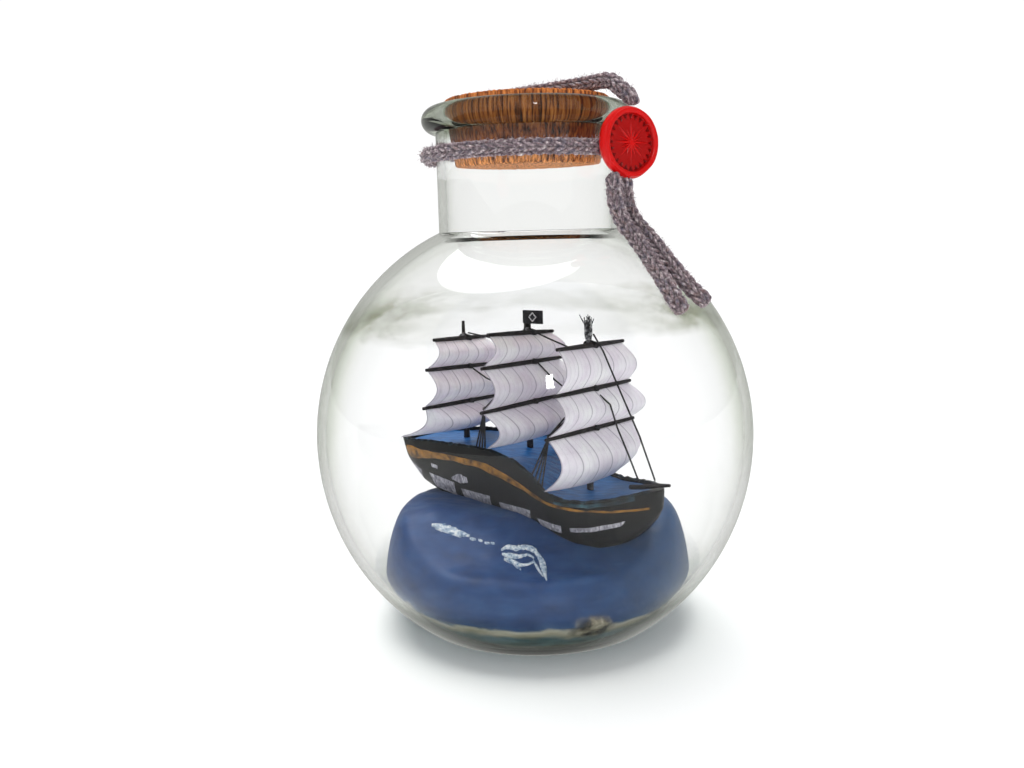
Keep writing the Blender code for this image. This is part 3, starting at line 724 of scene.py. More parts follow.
def wax_seal():
    azimuth = math.radians(SEAL_AZIMUTH)
    out = BEAD_R + SEAL_OUT
    middle = Vector((out * cos(azimuth), out * sin(azimuth), MOUTH_Z - BEAD_H - SEAL_DROP))
    facing = math.radians(SEAL_FACING)
    normal = Vector((sin(facing), -cos(facing), 0))
    across = Vector((cos(facing), sin(facing), 0))
    steps = 200
    face = SEAL_THICK / 2
    dish = 0.80
    rings = [(q, "front") for q in np.linspace(0.02, 0.94, 64)]
    rings += [(0.94 + 0.06 * sin(a), cos(a)) for a in np.linspace(0.2, pi - 0.2, 12)]
    rings += [(q, "back") for q in np.linspace(0.93, 0.05, 10)]
    verts = []
    depth = []
    for q, kind in rings:
        for i in range(steps):
            angle = 2 * pi * i / steps
            edge = 1 - 0.018 * (1 + noise.noise(Vector((cos(angle) * 1.7, sin(angle) * 1.7, 0.3))))
            shade = 1.0
            if kind == "front":
                if q < dish:
                    relief = impression(q / dish, angle)
                    z = face - 1.15 * MM + 0.55 * MM * relief
                    # Low in the impression's hollows and high on its raised star, for the wax's painted
                    # shade.
                    shade = 0.45 + 0.6 * max(0.0, relief + 0.25) - 0.4 * max(0.0, -relief)
                else:
                    hump = sin(pi * min(1.0, (q - dish) / (0.98 - dish) * 0.62 + 0.18))
                    z = face - 1.0 * MM + 0.95 * MM * hump
                z += 0.12 * MM * noise.noise(Vector((q * cos(angle) * 5, q * sin(angle) * 5, 2)))
                z = min(z, face)
            elif kind == "back":
                z = -face + 0.1 * MM
            else:
                z = (face - 0.7 * MM) * kind
            x = SEAL_W / 2 * edge * q * cos(angle)
            y = SEAL_H / 2 * edge * q * sin(angle)
            verts.append(middle + across * x + Vector((0, 0, y)) + normal * z)
            depth.append(min(1.0, shade))
    faces = tube_faces(len(rings), steps)
    made = build("seal", verts, faces, wax(), "sealed_strap", "red_sealing_wax", {"depth": depth})
    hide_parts("wax_seal")


wax_seal()


# The sea

SEA_TOP_Z = 39.0 * MM
SEA_FRONT_FALL = 11.0 * MM
SEA_TOP_R = 45.0 * MM
SEA_EDGE_Z = 17.0 * MM


def eased(x):
    x = min(1.0, max(0.0, x))
    return x * x * (3 - 2 * x)


def inner_bowl_r(z, inset):
    across = BOWL_R - WALL - inset
    deep = (BOWL_DEPTH if z < BOWL_CENTRE_Z else BOWL_RISE) - WALL - inset
    return across * sqrt(max(0.0, 1 - ((z - BOWL_CENTRE_Z) / deep) ** 2))


def sea_top(x, y):
    """The height of the sea's painted top."""
    z = SEA_TOP_Z - SEA_FRONT_FALL * eased((-y - 5 * MM) / (35 * MM))
    z += 0.7 * MM * sin(x / (7 * MM)) * cos(y / (9 * MM))
    return z


def sea_surface(x, y):
    """The height of the clay, its rounded side included."""
    radius = sqrt(x * x + y * y)
    contact = inner_bowl_r(SEA_EDGE_Z, GAP)
    z = sea_top(x, y)
    if radius > SEA_TOP_R:
        q = min(1.0, (radius - SEA_TOP_R) / (contact - SEA_TOP_R))
        z = SEA_EDGE_Z + (z - SEA_EDGE_Z) * (1 - q**2.5)
    return z


def sea_look():
    look = Look("blue_painted_clay", Roughness=0.42, Specular_IOR_Level=0.3)
    brush = look.noise(0.10, 5.0, 0.6, look.place((1, 1, 2.5), (0, 0, 0.5)))
    blue = look.ramp(
        brush,
        (0.30, (0.006, 0.032, 0.125)),
        (0.5, (0.011, 0.050, 0.18)),
        (0.72, (0.026, 0.085, 0.24)),
    )
    east = look.node("SeparateXYZ", {"Vector": look.place()}).outputs["X"]
    right = look.node("MapRange", {"Value": east, "From Min": 5.0, "From Max": 60.0}).outputs[0]
    blue = look.mix(look.math("MULTIPLY", right, 0.6), blue, (0.055, 0.11, 0.20))
    streaks = look.noise(0.5, 4.0, 0.7, look.place((0.25, 1.0, 2.0), (0, 0, 0.6)))
    blue = look.mix(look.ramp(streaks, (0.60, 0.0), (0.80, 0.35)), blue, (0.14, 0.27, 0.50))
    wobble = look.math("MULTIPLY", look.noise(0.09, 3.0), 7.0)
    level = look.math("SUBTRACT", look.height(), wobble)
    band = look.node("MapRange", {"Value": level, "From Min": 0.0, "From Max": 20.0}).outputs[0]
    side = look.ramp(
        band,
        (0.0, (0.10, 0.16, 0.13)),
        (0.22, (0.16, 0.26, 0.27)),
        (0.40, (0.10, 0.20, 0.26)),
        (0.52, (0.50, 0.46, 0.36)),
        (0.60, (0.66, 0.63, 0.54)),
        (0.66, (0.05, 0.12, 0.28)),
    )
    where = look.ramp(band, (0.64, 0.0), (0.72, 1.0))
    coat = look.mix(where, side, blue)
    inputs = {0: look.place((1, 1, 1.6)), 1: (16.0, -50.0, 24.0)}
    away = look.node("VectorMath", inputs, operation="DISTANCE").outputs["Value"]
    ragged = look.math("ADD", away, look.math("MULTIPLY", look.noise(0.25, 4.0), 7.0))
    near = look.ramp(look.math("DIVIDE", ragged, 20.0), (0.42, 1.0), (0.58, 0.0))
    scrap = look.ramp(
        look.noise(0.22, 4.0),
        (0.40, (0.05, 0.05, 0.055)),
        (0.52, (0.30, 0.26, 0.20)),
        (0.65, (0.60, 0.56, 0.46)),
    )
    look.set("Base Color", look.mix(near, coat, scrap))
    look.set("Roughness", look.ramp(streaks, (0.3, 0.34), (0.7, 0.52)))
    return look.made


def sea():
    steps = 220
    contact = inner_bowl_r(SEA_EDGE_Z, GAP)
    floor = BASE_THICK + PUNT_H + GAP
    tops = list(np.linspace(0.02, 1, 46)[:-1] * contact) + [contact]
    sides = np.linspace(SEA_EDGE_Z, floor, 12)[1:]
    verts = []
    for radius in tops:
        for i in range(steps):
            a = 2 * pi * i / steps
            x, y = radius * cos(a), radius * sin(a)
            z = sea_surface(x, y)
            shade = eased((contact - radius) / (6 * MM))
            z += 0.35 * MM * shade * noise.noise(Vector((x * 160, y * 160, 4)))
            z += 0.16 * MM * shade * noise.noise(Vector(((x + y) * 260, (x - y) * 700, 9)))
            verts.append((x, y, z))
    for z in sides:
        radius = inner_bowl_r(z, GAP * 1.2)
        turns = [2 * pi * i / steps for i in range(steps)]
        verts += [(radius * cos(a), radius * sin(a), z) for a in turns]
    faces = tube_faces(len(tops) + len(sides), steps)
    made = build("clay_sea", verts, faces, sea_look(), "bottle", "blue_painted_clay")
    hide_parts("sea_base")


sea()

# White strokes on the sea where its rounded rim catches the lamps, as (x, y, width) points in mm: painted
# highlight, laid on as raised foam paint
GLINT_FOAM_STROKES = [
    [(-35.6, -15.6, 0.8), (-33.2, -16.0, 2.6), (-29.5, -17.6, 2.8), (-25.5, -19.6, 2.0), (-22.4, -21.0, 0.7)],
    [(-34.4, -16.9, 0.5), (-30.6, -18.4, 1.2), (-27.0, -20.2, 0.9), (-25.2, -21.2, 0.4)],
    [(-22.2, -22.2, 0.5), (-21.0, -22.6, 0.8), (-20.2, -22.9, 0.3)],
    [(-19.4, -23.1, 0.3), (-18.7, -23.4, 0.6), (-18.0, -23.8, 0.3)],
    [(-17.2, -24.6, 0.3), (-16.4, -24.9, 0.7), (-15.6, -25.1, 0.3)],
    [(-15.2, -25.0, 0.3), (-14.5, -25.2, 0.6), (-13.9, -25.4, 0.3)],
    [(-11.6, -28.2, 0.6), (-9.4, -26.9, 1.8), (-6.4, -27.4, 2.2),
     (-3.4, -26.7, 2.2), (-0.6, -28.2, 1.6), (1.4, -31.2, 0.8)],
    [(-11.3, -30.0, 0.5), (-9.0, -30.6, 2.2), (-6.0, -31.0, 1.4), (-3.0, -30.2, 0.9), (-1.0, -31.4, 0.4)],
    [(-10.6, -32.2, 0.5), (-8.0, -33.4, 1.4), (-5.6, -35.0, 1.6), (-3.4, -35.0, 1.0), (-1.2, -33.4, 0.5)],
    [(-7.2, -35.0, 0.4), (-5.8, -36.8, 0.9), (-5.2, -37.8, 0.3)],
    [(-0.4, -29.0, 0.6), (1.5, -32.4, 1.8), (2.0, -36.0, 2.0),
     (2.2, -39.4, 1.3), (2.5, -43.0, 0.9), (2.8, -46.0, 0.3)],
    [(-1.2, -32.6, 0.4), (0.0, -36.0, 0.9), (1.2, -40.4, 0.6), (1.8, -43.0, 0.3)],
]


def glint_foam():
    # White paint that stands in for the highlights on the sea's rim: painted highlight.
    look = Look("white_glint_foam_paint", Roughness=0.5)
    dab = look.noise(0.75, 4.0, 0.65)
    look.paint(dab, (0.36, (0.10, 0.20, 0.38)), (0.5, (0.52, 0.62, 0.74)), (0.62, (0.90, 0.93, 0.96)))
    look.bump(dab, 0.3, 0.5)
    across = 9
    parts = []
    for number, points in enumerate(GLINT_FOAM_STROKES):
        widths = [p[2] for p in points]
        path = smooth_path([(x, y, 0) for x, y, _ in points], 0.25)
        line, _ = even(path, len(path) - 1)
        reach = np.interp(np.linspace(0, 1, len(line)), np.linspace(0, 1, len(widths)), widths) / 2
        ahead = np.gradient(line, axis=0)
        ahead /= np.linalg.norm(ahead, axis=1)[:, None]
        tops = []
        lows = []
        for i, (place, way, half) in enumerate(zip(line, ahead, reach)):
            for k in range(across):
                q = 2 * k / (across - 1) - 1
                edge = 1 + 0.5 * noise.noise(Vector((i * 0.35, number * 5.1, math.copysign(1, q))))
                x = (place[0] - way[1] * q * half * edge) * MM
                y = (place[1] + way[0] * q * half * edge) * MM
                lumps = 1 + 0.5 * noise.noise(Vector((i * 0.5, k * 0.9, number)))
                ridge = 0.10 + 0.34 * sqrt(max(0.0, 1 - q * q)) * lumps
                base = sea_surface(x, y)
                tops.append((x, y, base + (ridge + 0.15) * MM))
                lows.append((x, y, base - 0.35 * MM))
        parts.append((tops + lows, slab_faces(len(line), across)))
    verts, faces = joined(parts)
    build("sea_glint_foam", verts, faces, look.made, "bottle", "blue_painted_clay")


glint_foam()


# The ship's frame

SHIP_X = -1.5 * MM
SHIP_Y = 3.0 * MM
HEADING = math.radians(-39.0)
FORWARD = Vector((cos(HEADING), sin(HEADING), 0))
STARBOARD = Vector((sin(HEADING), -cos(HEADING), 0))


def on_ship(s, t, z):
    """A place on the ship, given in millimetres."""
    return Vector((SHIP_X, SHIP_Y, 0)) + (FORWARD * s + STARBOARD * t + Vector((0, 0, z))) * MM


# Hull lines, bow last: (s, half beam, rail height, keel height) in mm
HULL_LINES = [
    (-57.0, 9.0, 57.8, 52.0),
    (-53.0, 11.8, 57.6, 45.2),
    (-46.0, 13.6, 58.0, 39.4),
    (-37.0, 14.8, 59.0, 36.2),
    (-24.0, 16.2, 59.7, 35.4),
    (-12.0, 17.2, 60.3, 35.0),
    (-2.0, 17.7, 60.0, 34.4),
    (8.0, 18.1, 57.8, 33.0),
    (15.0, 18.4, 54.0, 31.4),
    (21.0, 18.4, 49.0, 29.8),
    (28.0, 18.2, 47.8, 28.8),
    (36.0, 17.0, 48.2, 29.6),
    (43.0, 13.2, 49.4, 33.0),
    (48.0, 8.2, 50.6, 37.4),
    (52.0, 3.6, 51.6, 41.8),
    (54.0, 1.4, 52.0, 45.4),
]
LINES = np.array(HULL_LINES)
BULWARK = 1.2
DECK_WELL = 1.7
BILGE = 0.62
FLARE = 0.8


def hull_at(s):
    """Half beam, rail height and keel height at a place along the ship, in mm."""
    return [float(np.interp(s, LINES[:, 0], LINES[:, k])) for k in (1, 2, 3)]


def hull_skin(s, z, lift=0.0, side=1):
    """A place on the hull's outside, raised off it by lift; all in mm."""
    beam, rail, keel = hull_at(s)
    down = min(1.0, max(0.0, (rail - z) / (rail - keel)))
    a = math.asin(down**FLARE)
    t = beam * cos(a) ** BILGE
    if lift:
        low = hull_skin_t(s, z - 0.4)
        high = hull_skin_t(s, z + 0.4)
        fore = hull_skin_t(s + 0.4, z)
        aft = hull_skin_t(s - 0.4, z)
        out = Vector((-(fore - aft) / 0.8, 1.0, -(high - low) / 0.8)).normalized() * lift
        return on_ship(s + out.x, side * (t + out.y), z + out.z)
    return on_ship(s, side * t, z)


def hull_skin_t(s, z):
    beam, rail, keel = hull_at(s)
    down = min(0.995, max(0.0, (rail - z) / (rail - keel)))
    return beam * cos(math.asin(down**FLARE)) ** BILGE


def hull_look():
    look = Look("black_hull_paint", Roughness=0.42)
    strokes = look.noise(0.22, 3.0, 0.55, look.place((0.6, 1, 3.0), (0, 0, 0.68)))
    black = look.ramp(
        strokes,
        (0.3, (0.002, 0.002, 0.003)),
        (0.62, (0.009, 0.008, 0.009)),
        (0.82, (0.04, 0.034, 0.034)),
    )
    look.set("Specular IOR Level", 0.3)
    look.set("Base Color", black)
    look.set("Roughness", look.ramp(strokes, (0.3, 0.32), (0.7, 0.6)))
    return look.made


def hull():
    rows = []
    span = np.concatenate([np.linspace(-57, 36, 94), np.linspace(36, 54, 30)[1:]])
    for s in span:
        beam, rail, keel = hull_at(s)
        ring = []
        for i in range(41):
            a = pi * i / 40
            t = beam * math.copysign(abs(cos(a)) ** BILGE, cos(a))
            ring.append((t, rail - (rail - keel) * sin(a) ** (1 / FLARE)))
        inside = min(BULWARK, beam / 2)
        open_here = -53 <= s <= 48
        well = DECK_WELL if open_here else 0.02
        ring += [(-beam + inside, rail), (-beam + inside, rail - well)]
        ring += [(beam - inside, rail - well), (beam - inside, rail)]
        rows.append([on_ship(s, t, z) for t, z in ring])
    cols = len(rows[0])
    verts = [v for row in rows for v in row]
    faces = tube_faces(len(rows), cols)
    made = build("painted_hull", verts, faces, hull_look(), "bottle", "black_hull_paint")
    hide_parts("hull")


def patch(name, corners_low, corners_high, look, slot, lift=0.16, ragged=0.12, seed=0, side=1):
    """A coat of paint on the hull between two lines of (s, z) points, in mm."""
    across = 40
    up = 6
    low = even([(s, 0, z) for s, z in corners_low], across)[0]
    high = even([(s, 0, z) for s, z in corners_high], across)[0]
    verts = []
    for layer in (lift, -0.25):
        for k in range(up + 1):
            for i in range(across + 1):
                share = k / up
                jag = ragged * noise.noise(Vector((i * 0.45, seed * 7.3, share * 2)))
                s = low[i][0] + (high[i][0] - low[i][0]) * share
                z = low[i][2] + (high[i][2] - low[i][2]) * share + jag * (2 * share - 1)
                end = min(i, across - i)
                thin = 1.0 if 0 < end and 0 < k < up else 0.2
                verts.append(hull_skin(s, z, layer * thin if layer > 0 else layer, side))
    faces = slab_faces(up + 1, across + 1)
    return build(name, verts, faces, look, "bottle", slot)


# Painted marks on the hull: the stripe as (s, z, width) and each gun port as its lower and
# upper edge, in mm
STRIPE = [
    (-54.5, 54.0, 1.8), (-50.0, 53.4, 4.2), (-46.0, 53.4, 5.0), (-41.0, 53.6, 3.2), (-35.0, 54.2, 2.4),
    (-27.0, 54.7, 2.0), (-19.0, 54.5, 2.2), (-12.0, 54.6, 2.6), (-6.0, 54.0, 3.0), (0.0, 52.5, 2.8),
    (5.0, 51.2, 2.6), (9.0, 50.2, 2.2), (13.5, 48.6, 1.6), (17.0, 47.2, 1.3), (20.2, 46.0, 1.1),
    (23.5, 45.6, 1.0), (30.0, 45.5, 0.8), (38.0, 45.7, 0.7), (45.0, 45.7, 0.7), (51.5, 46.2, 0.6),
]
PORTS = [
    ([(-52.0, 43.6), (-46.5, 41.0)], [(-53.5, 48.6), (-44.5, 46.8)]),
    ([(-38.0, 40.4), (-27.4, 38.8)], [(-39.5, 46.4), (-25.6, 44.9)]),
    ([(-23.2, 38.6), (-9.8, 37.6)], [(-22.6, 43.0), (-8.0, 42.7)]),
    ([(-5.2, 36.8), (9.2, 35.9)], [(-4.2, 41.0), (11.6, 41.2)]),
    ([(14.0, 35.7), (24.6, 35.6)], [(14.2, 38.8), (25.4, 38.6)]),
    ([(28.8, 36.9), (37.0, 38.4), (44.8, 40.5)], [(28.8, 38.5), (37.0, 40.0), (45.8, 42.2)]),
]


def ochre():
    look = Look("ochre_stripe_paint", Roughness=0.5)
    dab = look.noise(0.30, 4.0, 0.6)
    look.paint(dab, (0.34, (0.045, 0.018, 0.004)), (0.5, (0.27, 0.115, 0.008)), (0.70, (0.50, 0.21, 0.02)))
    look.bump(dab, 0.3, 0.6)
    return look.made


def port_paint():
    look = Look("pale_port_paint", Roughness=0.6)
    hatch = look.noise(1.3, 3.0, 0.6, look.place((1, 1, 0.12), (0, 0, 0.68)))
    look.paint(hatch, (0.34, (0.16, 0.15, 0.19)), (0.52, (0.42, 0.40, 0.46)), (0.70, (0.78, 0.76, 0.80)))
    look.bump(hatch, 0.2, 0.5)
    return look.made


def teal_paint():
    look = Look("teal_rail_paint", Roughness=0.45)
    dab = look.noise(0.22, 3.0, 0.5)
    look.paint(dab, (0.36, (0.006, 0.014, 0.020)), (0.52, (0.018, 0.065, 0.092)), (0.68, (0.07, 0.17, 0.21)))
    look.bump(dab, 0.3, 0.5)
    return look.made


def rail_look():
    look = Look("rail_paint", Roughness=0.45, Specular_IOR_Level=0.3)
    dab = look.noise(0.45, 4.0, 0.6)
    look.paint(dab, (0.45, (0.003, 0.003, 0.004)), (0.62, (0.016, 0.030, 0.045)), (0.75, (0.08, 0.16, 0.20)))
    look.bump(dab, 0.4, 0.6)
    return look.made


RAIL_PAINT = rail_look()


def marks():
    gold = ochre()
    teal = teal_paint()
    pale = port_paint()
    for side, word in ((1, "starboard"), (-1, "port")):
        low = [(s, z - w / 2) for s, z, w in STRIPE]
        high = [(s, z + w / 2) for s, z, w in STRIPE]
        patch(f"stripe_{word}", low, high, gold, "black_hull_paint", ragged=0.5, seed=1, side=side)
        for i, (below, above) in enumerate(PORTS):
            patch(f"gun_port_{word}_{i + 1}", below, above, pale, "black_hull_paint", seed=i + 3, side=side)
        oval = [(-26.2, 46.2), (-22.0, 45.2), (-17.6, 46.2)]
        top = [(-26.2, 47.0), (-21.5, 49.2), (-17.6, 48.2)]
        patch(f"oval_mark_{word}", oval, top, pale, "black_hull_paint", ragged=0.5, seed=20, side=side)
        dabs = [(24.0, 46.4), (31.0, 46.4), (37.0, 46.8), (43.5, 47.9), (48.5, 49.1)]
        crest = [(24.0, 47.1), (31.0, 47.6), (37.0, 48.0), (43.5, 49.2), (48.5, 50.4)]
        patch(f"teal_dabs_{word}", dabs, crest, teal, "blue_deck_paint",
              lift=0.25, ragged=0.3, seed=31, side=side)
        cap = []
        for s in np.linspace(-53.5, 51.5, 190):
            beam, rail, _ = hull_at(s)
            bumpy = noise.noise(Vector((s * 0.55, side * 4.0, 7)))
            cap.append(on_ship(s, side * (beam - BULWARK / 2), rail + 0.15 + 0.25 * bumpy))
        lumps = [noise.noise(Vector((i * 0.35, side * 9.0, 2))) for i in range(len(cap))]
        swell = [(0.62 + 0.30 * lump) * MM for lump in lumps]
        verts, faces = rod(cap, swell, 12)
        build(f"rail_paint_{word}", verts, faces, RAIL_PAINT, "bottle", "black_hull_paint")
        # A small pale spot where the black paint shows a glint: painted highlight.
        patch(f"small_glint_{word}", [(-36.6, 49.2), (-33.4, 48.9)], [(-36.6, 50.6), (-33.0, 50.3)], pale,
              "black_hull_paint", ragged=0.4, seed=21, side=side)


def deck_look():
    look = Look("blue_deck_paint", Roughness=0.4)
    strokes = look.noise(0.22, 5.0, 0.6, look.place((1, 3.0, 1), (0, 0, 0.68)))
    blue = look.ramp(
        strokes,
        (0.30, (0.002, 0.040, 0.16)),
        (0.52, (0.004, 0.105, 0.34)),
        (0.75, (0.03, 0.20, 0.50)),
    )
    look.set("Base Color", blue)
    look.bump(strokes, 0.4, 0.6)
    return look.made


def deck():
    """The painted deck, as a board with a slightly uneven top."""
    span = np.linspace(-52.4, 47.4, 90)
    across = 17
    tops = []
    lows = []
    for s in span:
        beam, rail, _ = hull_at(s)
        half = beam - BULWARK - 0.4
        for i in range(across):
            p = 2 * i / (across - 1) - 1
            z = rail - DECK_WELL + 1.1 + 0.1 * noise.noise(Vector((s * 0.4, p * 4, 1)))
            tops.append(on_ship(s, half * p, z))
            lows.append(on_ship(s, half * p, rail - DECK_WELL + 0.3))
    faces = slab_faces(len(span), across)
    made = build("deck_board", tops + lows, faces, deck_look(), "bottle", "blue_deck_paint")
    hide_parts("deck")


hull()
marks()
deck()


# Spars, sails and rigging

MASTS = {"mizzen": (-30.8, 103.0), "main": (0.0, 100.4), "fore": (26.0, 106.0)}
YARDS = {
    "mizzen": [(73.3, 20.5, 4.0, 0.5), (86.4, 18.3, 4.0, 0.9), (97.0, 14.0, 4.0, 0.6)],
    "main": [(75.8, 24.0, 4.0, 0.1), (90.0, 21.5, 5.5, 0.5), (100.4, 17.5, 6.0, 0.9)],
    "fore": [(69.2, 25.2, 1.6, 0.6), (82.6, 22.0, 0.5, 0.3), (97.1, 18.8, 1.5, 0.4)],
}
TIERS = ["course", "topsail", "topgallant"]
BELLY = [6.0, 4.8, 3.6]
PORT_BELLY = 0.35
CLEWS = {"mizzen": (-53.0, 13.4, 1.0), "main": (-4.8, 17.4, 1.0), "fore": (20.8, 18.6, 1.0)}
FOOT_ABOVE_RAIL = 4.2
MAST_D = 2.3
YARD_D = 1.7
YARD_AHEAD = (MAST_D + YARD_D) / 2 + 0.3
SAIL_SHARE = 0.94
SAIL_DROP = YARD_D / 2 - 0.15
SAIL_GRID = (72, 40)
SAIL_HALF_THICK = 0.12


def spar_look():
    look = Look("blackened_spar_wood", Roughness=0.6)
    grain = look.noise(0.6, 4.0, 0.65, look.place((1.5, 1.5, 1.5)))
    stain = look.ramp(
        grain,
        (0.3, (0.006, 0.005, 0.006)),
        (0.6, (0.026, 0.020, 0.022)),
        (0.8, (0.10, 0.075, 0.075)),
    )
    look.set("Base Color", stain)
    look.bump(grain, 0.2, 0.6)
    return look.made


SPAR = spar_look()


def spar(name, points, radii, node=None):
    """A slightly uneven tapered rod through (s, t, z) points in mm."""
    path = smooth_path([on_ship(*p) for p in points], 0.8 * MM)
    count = len(path) - 1
    centres, _ = even(path, count)
    share = np.linspace(0, 1, count + 1)
    radius = np.interp(share, np.linspace(0, 1, len(radii)), radii) * MM
    wobble = [1 + 0.06 * noise.noise(Vector((i * 0.5, len(name), 0))) for i in range(count + 1)]
    verts, faces = rod(centres, radius * wobble, 18)
    made = build(name, verts, faces, SPAR, "bottle", "blackened_spar_wood")
    if node:
        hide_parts(node)
    return made


def spars():
    for mast, (s, top) in MASTS.items():
        foot = hull_at(s)[1] - DECK_WELL + 0.9
        half = MAST_D / 2
        spar(f"{mast}_mast_pole", [(s, 0, foot), (s, 0, (foot + top) / 2), (s, 0, top)],
             [half, half * 0.85, half * 0.5], f"{mast}_mast")
        for tier, (z, reach, shift, cock) in zip(TIERS, YARDS[mast]):
            ends = [(s + YARD_AHEAD, shift + reach * p, z + cock * p) for p in (-1.0, -0.5, 0.0, 0.5, 1.0)]
            half_yard = YARD_D / 2
            radii = [half_yard * k for k in (0.68, 0.9, 1.0, 0.9, 0.68)]
            spar(f"{mast}_{tier}_yard_pole", ends, radii, f"{mast}_{tier}_yard")


def sail_look():
    look = Look("white_sailcloth", Roughness=0.85)
    look.set("Sheen Weight", 0.15)
    across = look.value("across")
    down = look.value("down")
    stain = look.noise(0.10, 3.0, 0.6)
    cloth = look.ramp(
        stain,
        (0.35, (0.86, 0.78, 0.88)),
        (0.5, (0.93, 0.88, 0.95)),
        (0.65, (0.98, 0.96, 0.99)),
    )
    shade = look.noise(1.0, 3.0, 0.6, look.place((1, 1, 0.06)))
    cloth = look.mix(look.ramp(shade, (0.45, 0.0), (0.70, 0.12)), cloth, (0.52, 0.46, 0.55))
    # fine ruled lines, then the strong seams
    for count, width, strength in ((18.0, 0.10, 0.20), (6.0, 0.055, 0.78)):
        near = look.math("PINGPONG", look.math("MULTIPLY", across, count), 0.5)
        line = look.ramp(near, (0.0, strength), (width, 0.0))
        cloth = look.mix(line, cloth, (0.34, 0.29, 0.37))
    hem = look.math("PINGPONG", down, 0.5)
    stitched = look.ramp(hem, (0.012, 0.0), (0.016, 0.35), (0.022, 0.35), (0.026, 0.0))
    cloth = look.mix(stitched, cloth, (0.45, 0.4, 0.5))
    look.set("Base Color", cloth)
    weave = look.noise(6.0, 2.0, 0.6)
    look.bump(weave, 0.12, 0.5)
    return look.made


SAILCLOTH = sail_look()


def sail_place(mast, tier, u, v):
    """A place on a sail in mm: u from -1, port, to 1, starboard; v from 0, the head, to 1, the foot."""
    s = MASTS[mast][0] + YARD_AHEAD
    head_z, half, shift, cock = YARDS[mast][tier]
    out = SAIL_SHARE * u
    head = Vector((s, shift + half * out, head_z + cock * out - SAIL_DROP))
    if tier:
        foot_z, half, shift, cock = YARDS[mast][tier - 1]
        foot = Vector((s, shift + half * out, foot_z + cock * out + SAIL_DROP))
    else:
        clew_s, clew_t, lift = CLEWS[mast]
        middle = Vector((s + BELLY[0] * 0.4, 0, hull_at(s)[1] + FOOT_ABOVE_RAIL))
        clew = Vector((clew_s, clew_t, hull_at(clew_s)[1] + lift))
        foot = middle.lerp(clew, abs(u) ** 3)
        foot.y = clew.y * math.copysign(abs(u) ** 0.9, u)
    place = head.lerp(foot, v)
    place.x += BELLY[tier] * sin(pi * v) * (1 + PORT_BELLY * max(0.0, -u))
    crease = noise.noise(Vector((u * 5 + tier * 3, v * 1.6, MASTS[mast][0])))
    flute = 0.16 * sin(u * 9 * pi) * (0.3 + 0.7 * abs(u)) * sin(pi * v) ** 0.5
    place.x += (0.5 * crease + flute) * min(1.0, 6 * v) * min(1.0, 6 * (1 - v))
    return place


def sails():
    columns, rows = SAIL_GRID
    for mast in MASTS:
        for tier, title in enumerate(TIERS):
            grid = np.array([[tuple(sail_place(mast, tier, 2 * i / columns - 1, k / rows))
                              for i in range(columns + 1)] for k in range(rows + 1)])
            along = np.gradient(grid, axis=1)
            fall = np.gradient(grid, axis=0)
            normal = np.cross(along, fall)
            normal /= np.linalg.norm(normal, axis=2)[:, :, None]
            sheets = [grid + normal * SAIL_HALF_THICK, grid - normal * SAIL_HALF_THICK]
            verts = [on_ship(*p) for sheet in sheets for row in sheet for p in row]
            cols = columns + 1
            faces = slab_faces(rows + 1, cols)
            u, v = np.meshgrid(np.linspace(0, 1, cols), np.linspace(0, 1, rows + 1))
            values = {"across": np.tile(u.ravel(), 2), "down": np.tile(v.ravel(), 2)}
            name = f"{mast}_{title}_sail"
            made = build(name + "_cloth", verts, faces, SAILCLOTH, "bottle", "white_sailcloth", values)
            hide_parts(name)


def thread_look():
    look = Look("black_thread", Roughness=0.7)
    twist = look.noise(3.0, 2.0, 0.6)
    look.paint(twist, (0.35, (0.006, 0.006, 0.007)), (0.7, (0.06, 0.055, 0.06)))
    look.bump(twist, 0.1, 0.6)
    return look.made


spars()
sails()
THREAD = thread_look()
for node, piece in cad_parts.items():
    if "shrouds" in node or "stay" in node:
        piece.data.materials.clear()
        piece.data.materials.append(THREAD)
    if node in ("bowsprit", "flag_staff"):
        piece.data.materials.clear()
        piece.data.materials.append(SPAR)


def lashings():
    """Thread wound round each yard where it crosses its mast, with a dab of grey glue."""
    turns = 5
    steps = 22
    windings = []
    dabs = []
    for mast, (s, _) in MASTS.items():
        for z, reach, shift, cock in YARDS[mast]:
            crossing = z - cock * shift / reach
            middle = s + YARD_AHEAD / 2
            path = []
            for i in range(turns * steps + 1):
                a = 2 * pi * i / steps
                t = 2.4 * (i / (turns * steps) - 0.5)
                path.append(on_ship(middle + 2.35 * cos(a), t, crossing + 1.15 * sin(a) + 0.3 * t))
            windings.append(rod(path, [0.24 * MM] * len(path), 8))
            lumps = []
            thick = []
            for i in range(15):
                q = i / 14 * 2 - 1
                lumps.append(on_ship(middle - 0.6 + 0.2 * q, q * 1.7, crossing + 0.75 + 0.3 * sin(3 * q)))
                lump = 1 + 0.3 * noise.noise(Vector((z, i * 0.6, s)))
                thick.append((0.15 + 0.75 * sqrt(max(0.0, 1 - q * q)) * lump) * MM)
            dabs.append(rod(lumps, thick, 12))
    build("yard_lashings", *joined(windings), THREAD, "bottle", "black_thread")
    glue = Look("grey_glue", Roughness=0.35)
    shade = glue.noise(0.8, 3.0)
    glue.paint(shade, (0.4, (0.05, 0.05, 0.055)), (0.6, (0.24, 0.24, 0.26)))
    glue.bump(shade, 0.2, 0.5)
    build("yard_glue", *joined(dabs), glue.made, "bottle", "blackened_spar_wood")


